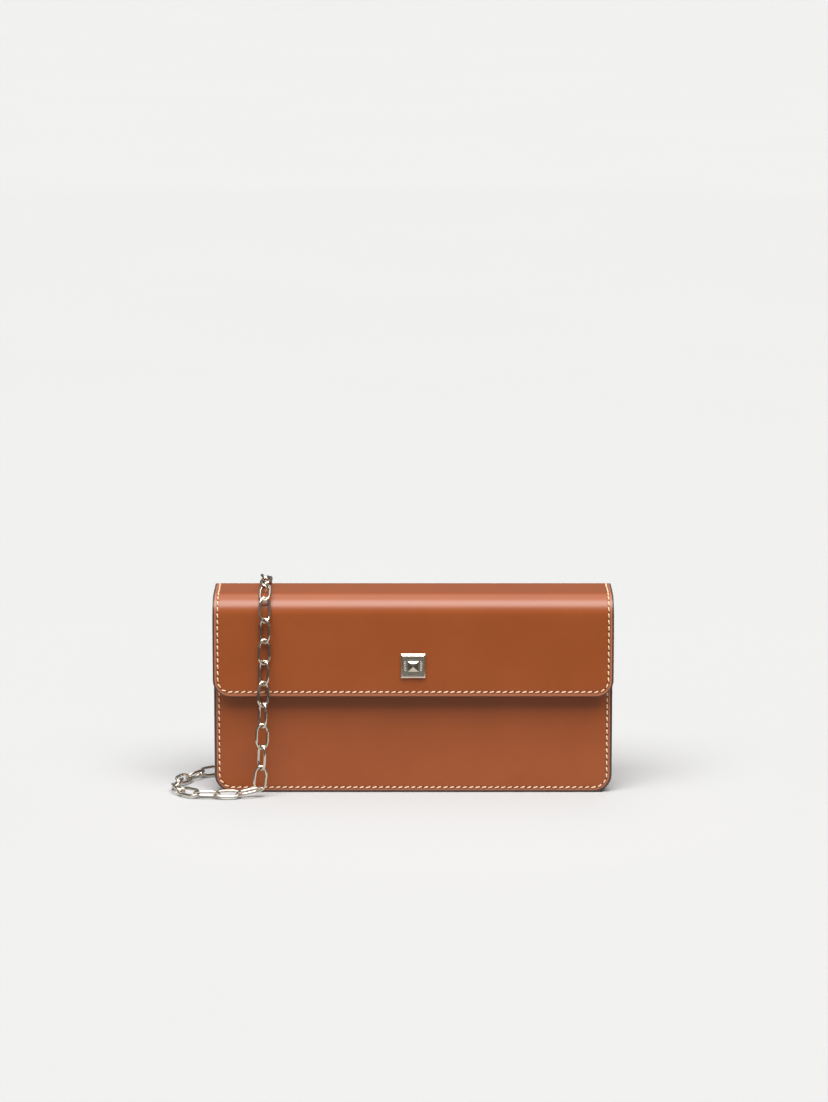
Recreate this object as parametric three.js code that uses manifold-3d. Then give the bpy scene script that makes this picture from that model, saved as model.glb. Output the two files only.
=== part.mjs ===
// Chain wallet: a long leather wallet with a flap that folds over the top and closes with a stud,
// a zipped coin pocket and card panels inside, and a link chain between two rings on its back.
// Millimetres. X runs to the wearer's right, Y to the back, Z up. The origin is the middle of the base.
import * as THREE from 'three';
import { mergeVertices } from 'three/addons/utils/BufferGeometryUtils.js';
import Module from 'manifold-3d';

const wasm = await Module();
wasm.setup();

// ---- Driving dimensions -------------------------------------------------------------------------
const WIDTH = 200;            // across the body and the flap
const HEIGHT = 102;           // floor to the top of the closed flap
const BACK_Y = 17;            // outer face of the back panel
const FRONT_Y = -17;          // outer face of the front panel
const FLAP_Y = -24;           // outer face of the closed flap
const FLAP_LOW = 50.5;        // lower edge of the closed flap
const BODY_CORNER = 9.2;      // radius of the body's two lower corners
const FLAP_CORNER = 8.5;      // radius of the flap's two lower corners
const BACK_FOLD = 7;          // outer radius of the fold at the back of the top
const FRONT_FOLD = 10;        // outer radius of the fold at the front of the top
const LEATHER = 1.3;          // outer leather
const LINING = 0.9;           // lining leather
const GAP = 0.3;              // clearance between pieces that lie against each other
const WALL_TOP = 92;          // top edge of the front panel and gusset
const SEAM = 6;               // width of the gusset's sewn flange
const FOLD_SPLIT = 0.2;       // half of the slit where a fold's two halves meet, along the outer face

const COIN_TOP = 76;          // top edge of the coin pocket
const COIN_HALF = 2.9;        // half the coin pocket's outer thickness
const COIN_WALL = 1;          // its wall
const COIN_WIDTH = 184;

const NOTE_TOP = 80;          // top edge of the note pocket
const NOTE_Y = -13.2;         // outer face of its wall
const NOTE_WALL = 0.8;
const CARD_HALF = 84;         // half the width of a card panel
const CARD_WALL = 0.7;
const CARD_TOPS = [88, 78, 68, 58];

const ZIP_TRAVEL = 140;       // how far the slider runs
const ZIP_Z = COIN_TOP + 0.6; // middle of the teeth
const TEETH_HALF = 79.2;      // half the length of the rows of teeth
const TEETH_WIDE = 1;         // half their width over both rows
const STOP_LONG = 2;          // length of the stop at each end
const TAPE_EDGE = 1.3;        // from the middle of the zip to a tape's inner edge

const CHAIN = 6.6;            // width of the chain over its links
const CHAIN_X = -74;          // where the chain crosses the top
const RING_X = 75;            // distance of each ring from the middle
const RING_Z = 74;            // height of the bar that a ring swings on
const RING_Y = BACK_Y + 3.7;
const RING_WIRE = 1.1;        // wire radius of the two rings
const LINK_WIRE = 0.8;        // wire radius of a chain link

const STUD_Z = 66.5;          // height of the stud's middle
const STUD_SIDE = 12.7;       // square plate over its bevels
const SHANK = 1;              // radius of the stud's shank

const RUN = CHAIN / 2 + GAP;              // height of the chain's middle over what it lies on
const CHAIN_Y = FLAP_Y - RUN;             // chain where it hangs in front of the flap
const HANK_RUN = 100;                     // straight part of the hank
const HANK_LOOP = 4 * CHAIN;              // hank's width between the middles of its two runs
const HANK_Y = 42;                        // middle of the hank
const HANK_LOW = 1.3;                     // underside of the hank, on its tie
const HANK_HIGH = HANK_LOW + 3 * CHAIN;
const TIE = 1;                            // thickness of the tie's band

// ---- Materials ----------------------------------------------------------------------------------
const leather = () => new THREE.MeshStandardMaterial({ color: 0x9e5530, roughness: 0.42 });
const lining = () => new THREE.MeshStandardMaterial({ color: 0xb07a4f, roughness: 0.8 });
const silver = () => new THREE.MeshStandardMaterial({ color: 0xd9d6d0, roughness: 0.18, metalness: 1 });
const steel = () => new THREE.MeshStandardMaterial({ color: 0xa6a29b, roughness: 0.35, metalness: 1 });
const tape = () => new THREE.MeshStandardMaterial({ color: 0x6d452c, roughness: 0.9 });

// ---- Solids -------------------------------------------------------------------------------------
// A closed geometry as a boolean solid.
function solid(geometry) {
  const bare = geometry.index ? geometry.toNonIndexed() : geometry.clone();
  bare.deleteAttribute('normal');
  bare.deleteAttribute('uv');
  const merged = mergeVertices(bare, 1e-4);
  const vertProperties = new Float32Array(merged.attributes.position.array);
  const triVerts = new Uint32Array(merged.index.array);
  return new wasm.Manifold(new wasm.Mesh({ numProp: 3, vertProperties, triVerts }));
}

// A boolean solid as a three.js geometry.
function geometryOf(manifold) {
  const made = manifold.getMesh();
  const geometry = new THREE.BufferGeometry();
  geometry.setAttribute('position', new THREE.BufferAttribute(new Float32Array(made.vertProperties), 3));
  geometry.setIndex(new THREE.BufferAttribute(new Uint32Array(made.triVerts), 1));
  geometry.computeVertexNormals();
  return geometry;
}

function prism(outline, depth) {
  const shape = outline instanceof THREE.Shape ? outline : new THREE.Shape(outline);
  return new THREE.ExtrudeGeometry(shape, { depth, bevelEnabled: false, curveSegments: 8 });
}

const X = new THREE.Vector3(1, 0, 0);
const Y = new THREE.Vector3(0, 1, 0);
const Z = new THREE.Vector3(0, 0, 1);

// An outline of (y, z) points carried along X.
function alongX(outline, x0, x1) {
  const turn = new THREE.Matrix4().makeBasis(Y, Z, X);
  return prism(outline, x1 - x0).applyMatrix4(turn).translate(x0, 0, 0);
}

// An outline of (x, z) points carried along Y.
function alongY(outline, y0, y1) {
  const turn = new THREE.Matrix4().makeBasis(X, Z, Y.clone().negate());
  return prism(outline, y1 - y0).applyMatrix4(turn).translate(0, y1, 0);
}

function rectangle(u0, u1, v0, v1) {
  return [[u0, v0], [u1, v0], [u1, v1], [u0, v1]].map(([u, v]) => new THREE.Vector2(u, v));
}

function box(x0, x1, y0, y1, z0, z1) {
  const middle = [(x0 + x1) / 2, (y0 + y1) / 2, (z0 + z1) / 2];
  return new THREE.BoxGeometry(x1 - x0, y1 - y0, z1 - z0).translate(...middle);
}

// A cylinder along Y.
function discY(x, z, y0, y1, radius, sides = 32) {
  return new THREE.CylinderGeometry(radius, radius, y1 - y0, sides).translate(x, (y0 + y1) / 2, z);
}

// The U of a panel's sides and bottom, set in from the edge: down the left, round, and up the right.
function uCurve(inset, low, top, corner) {
  const radius = corner - inset;
  const half = WIDTH / 2 - inset;
  const points = [new THREE.Vector2(-half, top)];
  for (const [side, from] of [[-1, Math.PI], [1, 1.5 * Math.PI]]) {
    for (let i = 0; i <= 6; i++) {
      const a = from + (i / 6) * (Math.PI / 2);
      const x = side * (half - radius) + radius * Math.cos(a);
      points.push(new THREE.Vector2(x, low + inset + radius + radius * Math.sin(a)));
    }
  }
  points.push(new THREE.Vector2(half, top));
  return points;
}

const bodyU = (inset, top) => uCurve(inset, 0, top, BODY_CORNER);
const uBand = (outer, inner, top) => [...bodyU(outer, top), ...bodyU(inner, top).reverse()];

// ---- The folded sheet of back panel and flap ----------------------------------------------------
// Stations on its outer face: y, z and the outward direction.
function foldStations(y, z, radius, fromDeg, toDeg, steps) {
  return Array.from({ length: steps + 1 }, (_, i) => {
    const a = THREE.MathUtils.degToRad(fromDeg + ((toDeg - fromDeg) * i) / steps);
    return { y: y + radius * Math.cos(a), z: z + radius * Math.sin(a), ny: Math.cos(a), nz: Math.sin(a) };
  });
}

const BACK_CENTRE = [BACK_Y - BACK_FOLD, HEIGHT - BACK_FOLD];
const FRONT_CENTRE = [FLAP_Y + FRONT_FOLD, HEIGHT - FRONT_FOLD];
const slit = (radius) => THREE.MathUtils.radToDeg(FOLD_SPLIT / radius);

function backStations(low) {
  return [
    { y: BACK_Y, z: low, ny: 1, nz: 0 },
    ...foldStations(...BACK_CENTRE, BACK_FOLD, 0, 45 - slit(BACK_FOLD), 5),
  ];
}

function topStations() {
  return [
    ...foldStations(...BACK_CENTRE, BACK_FOLD, 45 + slit(BACK_FOLD), 90, 5),
    ...foldStations(...FRONT_CENTRE, FRONT_FOLD, 90, 135 - slit(FRONT_FOLD), 5),
  ];
}

function frontStations(low) {
  return [
    ...foldStations(...FRONT_CENTRE, FRONT_FOLD, 135 + slit(FRONT_FOLD), 180, 5),
    { y: FLAP_Y, z: low, ny: -1, nz: 0 },
  ];
}

// The layer of a sheet between two depths under its outer face.
function layer(stations, near, far) {
  const at = (depth) => stations.map((s) => new THREE.Vector2(s.y - s.ny * depth, s.z - s.nz * depth));
  return [...at(near), ...at(far).reverse()];
}

// A layer carried across the wallet, its lower corners rounded by a U where it has any.
function sheet(stations, near, far, inset, corners) {
  const half = WIDTH / 2 - inset;
  const whole = alongX(layer(stations, near, far), -half, half);
  if (!corners) return whole;
  const cutter = alongY(corners, -60, 60);
  return geometryOf(solid(whole).intersect(solid(cutter)));
}

const LINING_NEAR = LEATHER + GAP;
const LINING_FAR = LINING_NEAR + LINING;
const flapU = (inset) => uCurve(inset, FLAP_LOW, HEIGHT + 20, FLAP_CORNER);
const shankHole = () => solid(discY(0, STUD_Z, FLAP_Y - 5, FLAP_Y + 5, SHANK + 0.4, 16));

// ---- Body ---------------------------------------------------------------------------------------
function body() {
  const inner = BACK_Y - LEATHER - GAP;    // gusset edge, against a panel's inner face
  const flange = 1.1;                      // thickness of a sewn flange
  const wall = 1.2;                        // thickness of the strip
  const liningWall = 0.7;
  const liningDrop = 2;                    // from the gusset's top edge to its lining's
  const strip = solid(alongY(uBand(0, wall, WALL_TOP), -inner, inner));
  const seams = [[-inner, -inner + flange], [inner - flange, inner]]
    .map(([y0, y1]) => solid(alongY(uBand(0, SEAM, WALL_TOP), y0, y1)));
  const liningSide = [0, 1].map((i) => BACK_Y - LINING_NEAR - i * LINING);
  const clear = SEAM + GAP + 0.1;
  const gussetLining = uBand(wall + GAP, wall + GAP + liningWall, WALL_TOP - liningDrop);
  const liningHalf = inner - flange - GAP;
  return {
    front_panel: [alongY(bodyU(0, WALL_TOP), FRONT_Y, FRONT_Y + LEATHER), leather],
    front_lining: [alongY(bodyU(clear, WALL_TOP), -liningSide[0], -liningSide[1]), lining],
    gusset: [geometryOf(seams.reduce((whole, seam) => whole.add(seam), strip)), leather],
    gusset_lining: [alongY(gussetLining, -liningHalf, liningHalf), lining],
    back_panel: [sheet(backStations(0), 0, LEATHER, 0, bodyU(0, HEIGHT + 5)), leather],
    back_lining: [sheet(backStations(clear), LINING_NEAR, LINING_FAR, clear, bodyU(clear, HEIGHT + 5)), lining],
  };
}

// ---- Inside -------------------------------------------------------------------------------------
const INSIDE_HALF = 92;
const INSIDE_LOW = 6.6;

function inside() {
  const nodes = {
    note_pocket_wall: [box(-INSIDE_HALF, INSIDE_HALF, NOTE_Y, NOTE_Y + NOTE_WALL, INSIDE_LOW, NOTE_TOP), lining],
  };
  CARD_TOPS.forEach((top, i) => {
    const y1 = BACK_Y - LINING_FAR - GAP - i * (CARD_WALL + GAP);
    nodes[`card_panel_${i + 1}`] = [box(-CARD_HALF, CARD_HALF, y1 - CARD_WALL, y1, INSIDE_LOW, top), lining];
  });
  return nodes;
}

// Ends of a span on one side of the middle, in rising order.
const onSide = (side, near, far) => [side * near, side * far].sort((a, b) => a - b);

// A bag with a U section, sewn up at its two ends, under a closed zip.
function coinPocket() {
  const half = COIN_WIDTH / 2;
  const teeth = [-TEETH_WIDE, TEETH_WIDE, ZIP_Z - 0.7, ZIP_Z + 0.8];
  const u = [
    [-COIN_HALF, INSIDE_LOW], [COIN_HALF, INSIDE_LOW], [COIN_HALF, COIN_TOP],
    [COIN_HALF - COIN_WALL, COIN_TOP], [COIN_HALF - COIN_WALL, INSIDE_LOW + COIN_WALL],
    [COIN_WALL - COIN_HALF, INSIDE_LOW + COIN_WALL], [COIN_WALL - COIN_HALF, COIN_TOP], [-COIN_HALF, COIN_TOP],
  ].map(([y, z]) => new THREE.Vector2(y, z));
  const nodes = { coin_pocket_bag: [alongX(u, -half, half), lining] };
  const seamHalf = COIN_HALF - COIN_WALL - GAP;
  for (const [name, side] of [['left', -1], ['right', 1]]) {
    const ends = onSide(side, half - 1, half);
    const seam = box(...ends, -seamHalf, seamHalf, INSIDE_LOW + COIN_WALL + GAP, COIN_TOP - 1);
    nodes[`coin_pocket_seam_${name}`] = [seam, lining];
    const stop = onSide(side, TEETH_HALF + GAP, TEETH_HALF + GAP + STOP_LONG);
    nodes[`zip_stop_${name}`] = [box(...stop, ...teeth), steel];
  }
  const tapeEdges = { front: [-COIN_HALF, -TAPE_EDGE], back: [TAPE_EDGE, COIN_HALF] };
  for (const [name, [y0, y1]] of Object.entries(tapeEdges)) {
    nodes[`zip_tape_${name}`] = [box(-half, half, y0, y1, COIN_TOP + GAP, COIN_TOP + 0.9), tape];
  }
  nodes.zip_teeth = [box(-TEETH_HALF, TEETH_HALF, ...teeth), steel];
  return nodes;
}

const SLIDER_X = -ZIP_TRAVEL / 2;
const PULL_PIVOT_Z = 81.4;    // middle of the bar that the pull swings on
const PULL_BAR = 0.5;         // its radius
const PULL_EYE = 1.8;         // outer radius of the pull's eye
const PULL_BORE = 0.85;       // radius of the hole through it

// The slider: a plate over the teeth with two rails, and a bar on two posts that holds the pull.
function zipSlider() {
  const wide = 2.4;                        // half the plate's width
  const low = 77.8;                        // underside of the plate
  const high = 79.1;
  const plate = solid(box(-4.5, 4.5, -wide, wide, low, high));
  const rails = [-1, 1].map((s) => solid(box(-4, 4, ...onSide(s, wide - 1, wide), low - 0.6, low + 0.2)));
  const posts = [-1, 1].map((s) => solid(box(-0.8, 0.8, ...onSide(s, 1, 1.7), high - 0.1, high + 2.9)));
  const bar = solid(discY(0, PULL_PIVOT_Z, -1.4, 1.4, PULL_BAR, 12));
  const whole = [...rails, ...posts, bar].reduce((sum, next) => sum.add(next), plate);
  return geometryOf(whole).translate(SLIDER_X, 0, 0);
}

// The pull: an eye round the slider's bar, and a tapered tab that lies along the zip.
function zipPull() {
  const eye = solid(discY(0, PULL_PIVOT_Z, -0.7, 0.7, PULL_EYE, 20));
  const tab = new THREE.Shape();
  tab.moveTo(1, -0.6);
  tab.lineTo(3.2, -0.7);
  tab.lineTo(5.5, -2.4);
  tab.absarc(13.6, 0, 2.6, -Math.PI / 2, Math.PI / 2, false);
  tab.lineTo(5.5, 2.4);
  tab.lineTo(3.2, 0.7);
  tab.lineTo(1, 0.6);
  const hole = new THREE.Path();
  hole.absarc(13, 0, 1.1, 0, 2 * Math.PI, true);
  tab.holes.push(hole);
  const plate = solid(prism(tab, 1).translate(0, 0, PULL_PIVOT_Z - 0.5));
  const bore = solid(discY(0, PULL_PIVOT_Z, -2, 2, PULL_BORE, 16));
  return geometryOf(eye.add(plate).subtract(bore)).translate(SLIDER_X, 0, 0);
}

// ---- Closure ------------------------------------------------------------------------------------
function turned(profile, sides = 32) {
  return new THREE.LatheGeometry(profile.map(([r, y]) => new THREE.Vector2(r, y)), sides);
}

function closure() {
  const rim = STUD_SIDE / 2;
  const bevel = 0.5;
  const thick = 0.4;                       // plate between its two bevels
  const face = FLAP_Y - GAP;
  const flat = rim - bevel;
  const square = new THREE.Shape(rectangle(-flat, flat, -flat, flat));
  const settings = { depth: thick, bevelThickness: bevel, bevelSize: bevel, bevelSegments: 1, curveSegments: 1 };
  const turn = new THREE.Matrix4().makeBasis(X, Z, Y.clone().negate());
  const blank = new THREE.ExtrudeGeometry(square, settings).applyMatrix4(turn)
    .translate(0, face - bevel, STUD_Z);
  const plateFront = face - thick - 2 * bevel;
  const base = 2.65;                       // half the pyramid's side
  const tall = 2.2;                        // its height
  const foot = plateFront - GAP;
  const pyramid = new THREE.CylinderGeometry(0.01, base * Math.SQRT2, tall, 4).rotateY(Math.PI / 4)
    .rotateX(Math.PI).translate(0, foot - tall / 2, STUD_Z);
  const inner = FLAP_Y + LINING_FAR;       // the flap lining's free face
  const shank = discY(0, STUD_Z, foot - 0.5, inner, SHANK, 16);
  const disc = 6.2;                        // radius of the boss's disc
  const boss = turned([[0, inner + GAP], [disc, inner + GAP], [disc, inner + 1.3], [2.2, inner + 1.3],
    [1.9, inner + 2.9], [0, inner + 2.9]]).translate(0, 0, STUD_Z);
  const seat = FRONT_Y - GAP;              // the front panel's outer face, less the clearance
  const mouth = 3.6;                       // radius of the socket's mouth
  const rimOut = 7.2;                      // radius over its rim
  const socket = turned([[0, seat - 0.6], [mouth, seat - 0.6], [mouth, seat - 1.9], [rimOut - 0.4, seat - 1.9],
    [rimOut, seat - 1.5], [rimOut, seat], [0, seat]]).translate(0, 0, STUD_Z);
  const back = -BACK_Y + LINING_FAR + GAP; // the front lining's free face, plus the clearance
  return {
    flap: {
      stud_plate: [geometryOf(solid(blank).subtract(shankHole())), steel],
      stud_pyramid: [geometryOf(solid(pyramid).add(solid(shank))), silver],
      snap_boss: [boss, steel],
    },
    body: {
      snap_socket: [socket, steel],
      snap_washer: [discY(0, STUD_Z, back, back + 0.7, 6), steel],
    },
  };
}

// ---- Rings --------------------------------------------------------------------------------------
// A torus whose middle circle is laid on a closed loop of (x, z) points, in the plane of X and Z.
function wireLoop(path, wire, steps, sides = 8) {
  const torus = new THREE.TorusGeometry(1, 0.25, sides, steps);
  const loop = path.getSpacedPoints(steps);
  const position = torus.attributes.position;
  for (let k = 0; k < position.count; k++) {
    const i = k % (steps + 1);
    const j = Math.floor(k / (steps + 1));
    const before = loop[(i - 1 + steps) % steps];
    const after = loop[(i + 1) % steps];
    const along = after.clone().sub(before).normalize();
    const a = (j / sides) * 2 * Math.PI;
    const out = wire * Math.cos(a);
    const here = loop[i % steps];
    position.setXYZ(k, here.x + along.y * out, -wire * Math.sin(a), here.y - along.x * out);
  }
  return geometryOf(solid(torus));
}

// The outline of a D: a straight bar along X with its bow above.
function bowPath() {
  const path = new THREE.Path();
  path.moveTo(0, 0);
  path.lineTo(5.3, 0);
  path.absarc(5.3, 2.2, 2.2, -Math.PI / 2, 0, false);
  path.absellipse(0, 2.2, 7.5, 9.8, 0, Math.PI, false, 0);
  path.absarc(-5.3, 2.2, 2.2, Math.PI, 1.5 * Math.PI, false);
  path.lineTo(0, 0);
  return path;
}

// The outline of a connecting link, its length along the second axis.
function linkPath(width, length) {
  const r = width / 2;
  const straight = length / 2 - r;
  const path = new THREE.Path();
  path.moveTo(r, 0);
  path.lineTo(r, straight);
  path.absarc(0, straight, r, 0, Math.PI, false);
  path.lineTo(-r, -straight);
  path.absarc(0, -straight, r, Math.PI, 2 * Math.PI, false);
  path.lineTo(r, 0);
  return path;
}

const BOW = 12;                                  // height of the D over its bar
const LINK_LENGTH = 10.7;                        // connecting link, between the middles of its ends
const LINK_START = BOW - RING_WIRE - LINK_WIRE - 0.15;

function ring(x, up) {
  const bow = wireLoop(bowPath(), RING_WIRE, 56);
  const link = wireLoop(linkPath(5, LINK_LENGTH), LINK_WIRE, 40).rotateZ(Math.PI / 2)
    .translate(0, 0, LINK_START + LINK_LENGTH / 2);
  return [bow, link].map((piece) => piece.rotateX(up ? 0 : Math.PI).translate(x, RING_Y, RING_Z));
}

// The tab that holds a ring: two layers of leather, sewn above a loop round the ring's bar.
function ringTab(x) {
  const half = 5;                          // half the tab's width
  const sewn = 2;                          // its two layers
  const top = RING_Z + 9.2;
  const plate = solid(box(x - half, x + half, BACK_Y + GAP, BACK_Y + GAP + sewn, RING_Z + 1, top));
  const along = (radius, reach) => new THREE.CylinderGeometry(radius, radius, 2 * reach, 24)
    .rotateZ(Math.PI / 2).translate(x, RING_Y, RING_Z);
  const loop = solid(along(2.7, half));
  const bore = solid(along(1.6, half + 1));
  const neck = solid(box(x - half, x + half, BACK_Y + GAP, RING_Y, RING_Z, RING_Z + 2.6));
  const fit = solid(box(x - half, x + half, BACK_Y + GAP, RING_Y + 5, RING_Z - 5, RING_Z + 12));
  return geometryOf(loop.add(plate).add(neck).intersect(fit).subtract(bore));
}

// ---- Chain --------------------------------------------------------------------------------------
// The chain's route, in the order it runs: from the left ring over the top and down the flap,
// along the floor round the left side, through the hank and up to the right ring.
// A stretch of the route round the front fold, at a height over the leather.
function roundFront(x, fromDeg, toDeg) {
  const stations = foldStations(...FRONT_CENTRE, FRONT_FOLD + RUN, fromDeg, toDeg, 3);
  return stations.map(({ y, z }) => [x, y, z]);
}

const TOP_ROUTE = [
  [CHAIN_X, 9, HEIGHT + RUN], [CHAIN_X, 1, HEIGHT + RUN], [CHAIN_X, -7, HEIGHT + RUN],
  ...roundFront(CHAIN_X, 90, 120),
];
const FRONT_ROUTE = [
  ...roundFront(CHAIN_X, 150, 180),
  [-74.2, CHAIN_Y, 78], [-74.6, CHAIN_Y, 64], [-75, CHAIN_Y, 51],
];
const BEND_ROUTE = [[-75, CHAIN_Y, 50.6], [-75.2, CHAIN_Y, 44.3]];
const TAIL_ROUTE = [[-75.2, CHAIN_Y, 44], [-75.7, CHAIN_Y, 26], [-76.3, CHAIN_Y, 7.6]];
const FLOOR_ROUTE = [
  [-78, -28.8, RUN], [-90, -31, RUN], [-103, -31.6, RUN], [-113, -28.5, RUN], [-118.4, -20, RUN],
  [-119.7, -9, RUN], [-116.5, 3, RUN], [-109.5, 13.5, RUN], [-102, 21, RUN], [-92, 25.2, RUN],
  [-78, 27.8, 4], [-64, HANK_Y - HANK_LOOP / 2, HANK_LOW + CHAIN / 2],
];
const RISE_ROUTE = [
  [64, HANK_Y - HANK_LOOP / 2, HANK_HIGH - CHAIN / 2], [69.5, 26.2, 19.4], [73.2, 23, 24.5],
  [74.8, RING_Y, 33], [RING_X, RING_Y, 45], [RING_X, RING_Y, RING_Z - LINK_START - LINK_LENGTH - 1.2],
];

function tube(route, radius, steps) {
  const points = route.map((p) => new THREE.Vector3(...p));
  const section = new THREE.Shape(Array.from({ length: 8 }, (_, i) => {
    const a = (i / 8) * 2 * Math.PI;
    return new THREE.Vector2(radius * Math.cos(a), radius * Math.sin(a));
  }));
  const extrudePath = new THREE.CatmullRomCurve3(points, false, 'centripetal');
  return new THREE.ExtrudeGeometry(section, { steps, bevelEnabled: false, extrudePath });
}

// A stadium of two straight runs with round ends, carried up.
function hank() {
  const r = HANK_LOOP / 2 + CHAIN / 2;
  const outline = new THREE.Shape();
  outline.absarc(HANK_RUN / 2, HANK_Y, r, -Math.PI / 2, Math.PI / 2, false);
  outline.absarc(-HANK_RUN / 2, HANK_Y, r, Math.PI / 2, 1.5 * Math.PI, false);
  return prism(outline, HANK_HIGH - HANK_LOW).translate(0, 0, HANK_LOW);
}

// A flat band round the middle of the hank.
function hankTie() {
  const r = HANK_LOOP / 2 + CHAIN / 2 + GAP;
  const band = new THREE.Shape(rectangle(HANK_Y - r - TIE, HANK_Y + r + TIE, 0, HANK_HIGH + GAP + TIE));
  band.holes.push(new THREE.Path(rectangle(HANK_Y - r, HANK_Y + r, TIE, HANK_HIGH + GAP)));
  return alongX(band, -3, 3);
}

// ---- Assembly -----------------------------------------------------------------------------------
function flapSheets() {
  const holed = (geometry) => geometryOf(solid(geometry).subtract(shankHole()));
  const inset = 1;
  const front = frontStations(FLAP_LOW - 5);
  return {
    top: {
      flap_top_panel: [sheet(topStations(), 0, LEATHER, 0), leather],
      flap_top_lining: [sheet(topStations(), LINING_NEAR, LINING_FAR, inset), lining],
    },
    front: {
      flap_front_panel: [holed(sheet(front, 0, LEATHER, 0, flapU(0))), leather],
      flap_front_lining: [holed(sheet(front, LINING_NEAR, LINING_FAR, inset, flapU(inset))), lining],
    },
  };
}

function group(...sets) {
  const made = new THREE.Group();
  for (const [name, [geometry, material]] of sets.flatMap((set) => Object.entries(set))) {
    const mesh = new THREE.Mesh(geometry, material());
    mesh.name = name;
    made.add(mesh);
  }
  return made;
}

const flap = flapSheets();
const stud = closure();
const [leftBow, leftLink] = ring(-RING_X, true);
const [rightBow, rightLink] = ring(RING_X, false);

const wallet = new THREE.Group();
wallet.add(
  group(body(), inside(), coinPocket(), stud.body),
  group({ left_ring_tab: [ringTab(-RING_X), leather], right_ring_tab: [ringTab(RING_X), leather] }),
  group(flap.top, { chain_over_top: [tube(TOP_ROUTE, CHAIN / 2, 12), silver] }),
  group(flap.front, stud.flap, { chain_down_flap: [tube(FRONT_ROUTE, CHAIN / 2, 18), silver] }),
  group({ chain_bend: [tube(BEND_ROUTE, CHAIN / 2, 1), silver] }),
  group({ chain_tail: [tube(TAIL_ROUTE, CHAIN / 2, 3), silver] }),
  group({ left_ring: [leftBow, silver], left_connector: [leftLink, silver] }),
  group({ right_ring: [rightBow, silver], right_connector: [rightLink, silver] }),
  group({ zip_slider: [zipSlider(), steel] }),
  group({ zip_pull: [zipPull(), steel] }),
  group({
    chain_floor_run: [tube(FLOOR_ROUTE, CHAIN / 2, 22), silver],
    chain_hank: [hank(), silver],
    hank_tie: [hankTie(), tape],
    chain_rise: [tube(RISE_ROUTE, CHAIN / 2, 8), silver],
  }),
);

export default wallet;
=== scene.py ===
"""Chain wallet: folded calf leather with a stitched flap, a zipped coin pocket and a link chain.

Sizes are in millimetres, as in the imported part, and are put into the meshes in metres.
X runs to the right, Y to the back and Z up, from the middle of the base.
"""

import bmesh
import bpy
import numpy as np
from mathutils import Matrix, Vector


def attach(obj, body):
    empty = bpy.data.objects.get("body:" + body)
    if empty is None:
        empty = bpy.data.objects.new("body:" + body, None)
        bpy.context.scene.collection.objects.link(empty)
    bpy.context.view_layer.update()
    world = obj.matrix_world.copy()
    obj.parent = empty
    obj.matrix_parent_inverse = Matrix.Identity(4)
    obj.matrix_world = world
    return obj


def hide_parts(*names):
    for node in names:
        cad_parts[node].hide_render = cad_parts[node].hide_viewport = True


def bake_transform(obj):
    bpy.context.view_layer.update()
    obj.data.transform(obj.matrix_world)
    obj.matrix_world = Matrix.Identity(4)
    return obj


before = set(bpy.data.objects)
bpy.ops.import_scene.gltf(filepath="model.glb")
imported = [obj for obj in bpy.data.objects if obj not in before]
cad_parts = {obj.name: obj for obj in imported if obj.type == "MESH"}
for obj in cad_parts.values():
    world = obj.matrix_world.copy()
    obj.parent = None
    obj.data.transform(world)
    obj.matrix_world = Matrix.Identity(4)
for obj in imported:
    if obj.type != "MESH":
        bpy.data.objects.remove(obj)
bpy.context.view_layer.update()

MM = 0.001

# ---- Driving dimensions -----------------------------------------------------------------------
WIDTH = 200.0  # across the body and the flap
HEIGHT = 102.0  # floor to the top of the closed flap
BACK_Y = 17.0  # outer face of the back panel
FRONT_Y = -17.0  # outer face of the front panel
FLAP_Y = -24.0  # outer face of the closed flap
FLAP_LOW = 50.5  # lower edge of the closed flap
BODY_CORNER = 9.2
FLAP_CORNER = 8.5
FLAP_FLARE = 0.003  # share by which the flap widens below its fold
BACK_FOLD = 7.0  # outer radius of the fold at the back of the top
FRONT_FOLD = 10.0  # outer radius of the fold at the front of the top
LEATHER = 1.3  # outer leather
LINING = 0.9
GAP = 0.3  # clearance between pieces that lie against each other
WALL_TOP = 92.0  # top edge of the front panel and gusset
SEAM_FLANGE = 6.0  # width of the gusset's sewn flange
LINING_DEPTH = LEATHER + GAP

SEAM_INSET = 2.55  # from an edge to its row of stitches
STITCH_PITCH = 3.25
THREAD = 0.72  # thread thickness
GROOVE = 0.13  # how deep the row of stitches pulls the leather in
NO_HOLES = 0.5  # half way between two holes: the mark of leather without any
INNER = 4.0  # farther in than the seam: the mark of leather without an edge

RING_X, RING_Y, RING_Z = 75.0, BACK_Y + 3.7, 74.0  # middle of a ring's bar
RING_WIRE = 1.1
CONNECTOR_WIRE = 0.8
CONNECTOR_START, CONNECTOR_LENGTH, CONNECTOR_WIDTH = 9.95, 10.7, 5.0

LINK_PITCH = 10.72
LINK_HALF_LENGTH = 6.26  # to the middle of the wire
LINK_HALF_WIDTH = 2.74
LINK_SIDE = 3.5  # half the length of a link's straight sides
LINK_END = 1.15  # half the width of its flat ends
LINK_WIRE = 0.73  # wire radius

HANK_RUN = 100.0
HANK_RADIUS = 13.2
HANK_Y = 42.0
HANK_LEVEL = 6.6  # from one layer of the hank to the next
HANK_FIRST = 4.6  # height of the lowest layer's middle

STUD_Z = 66.5
STUD_SIDE = 12.7

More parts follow.
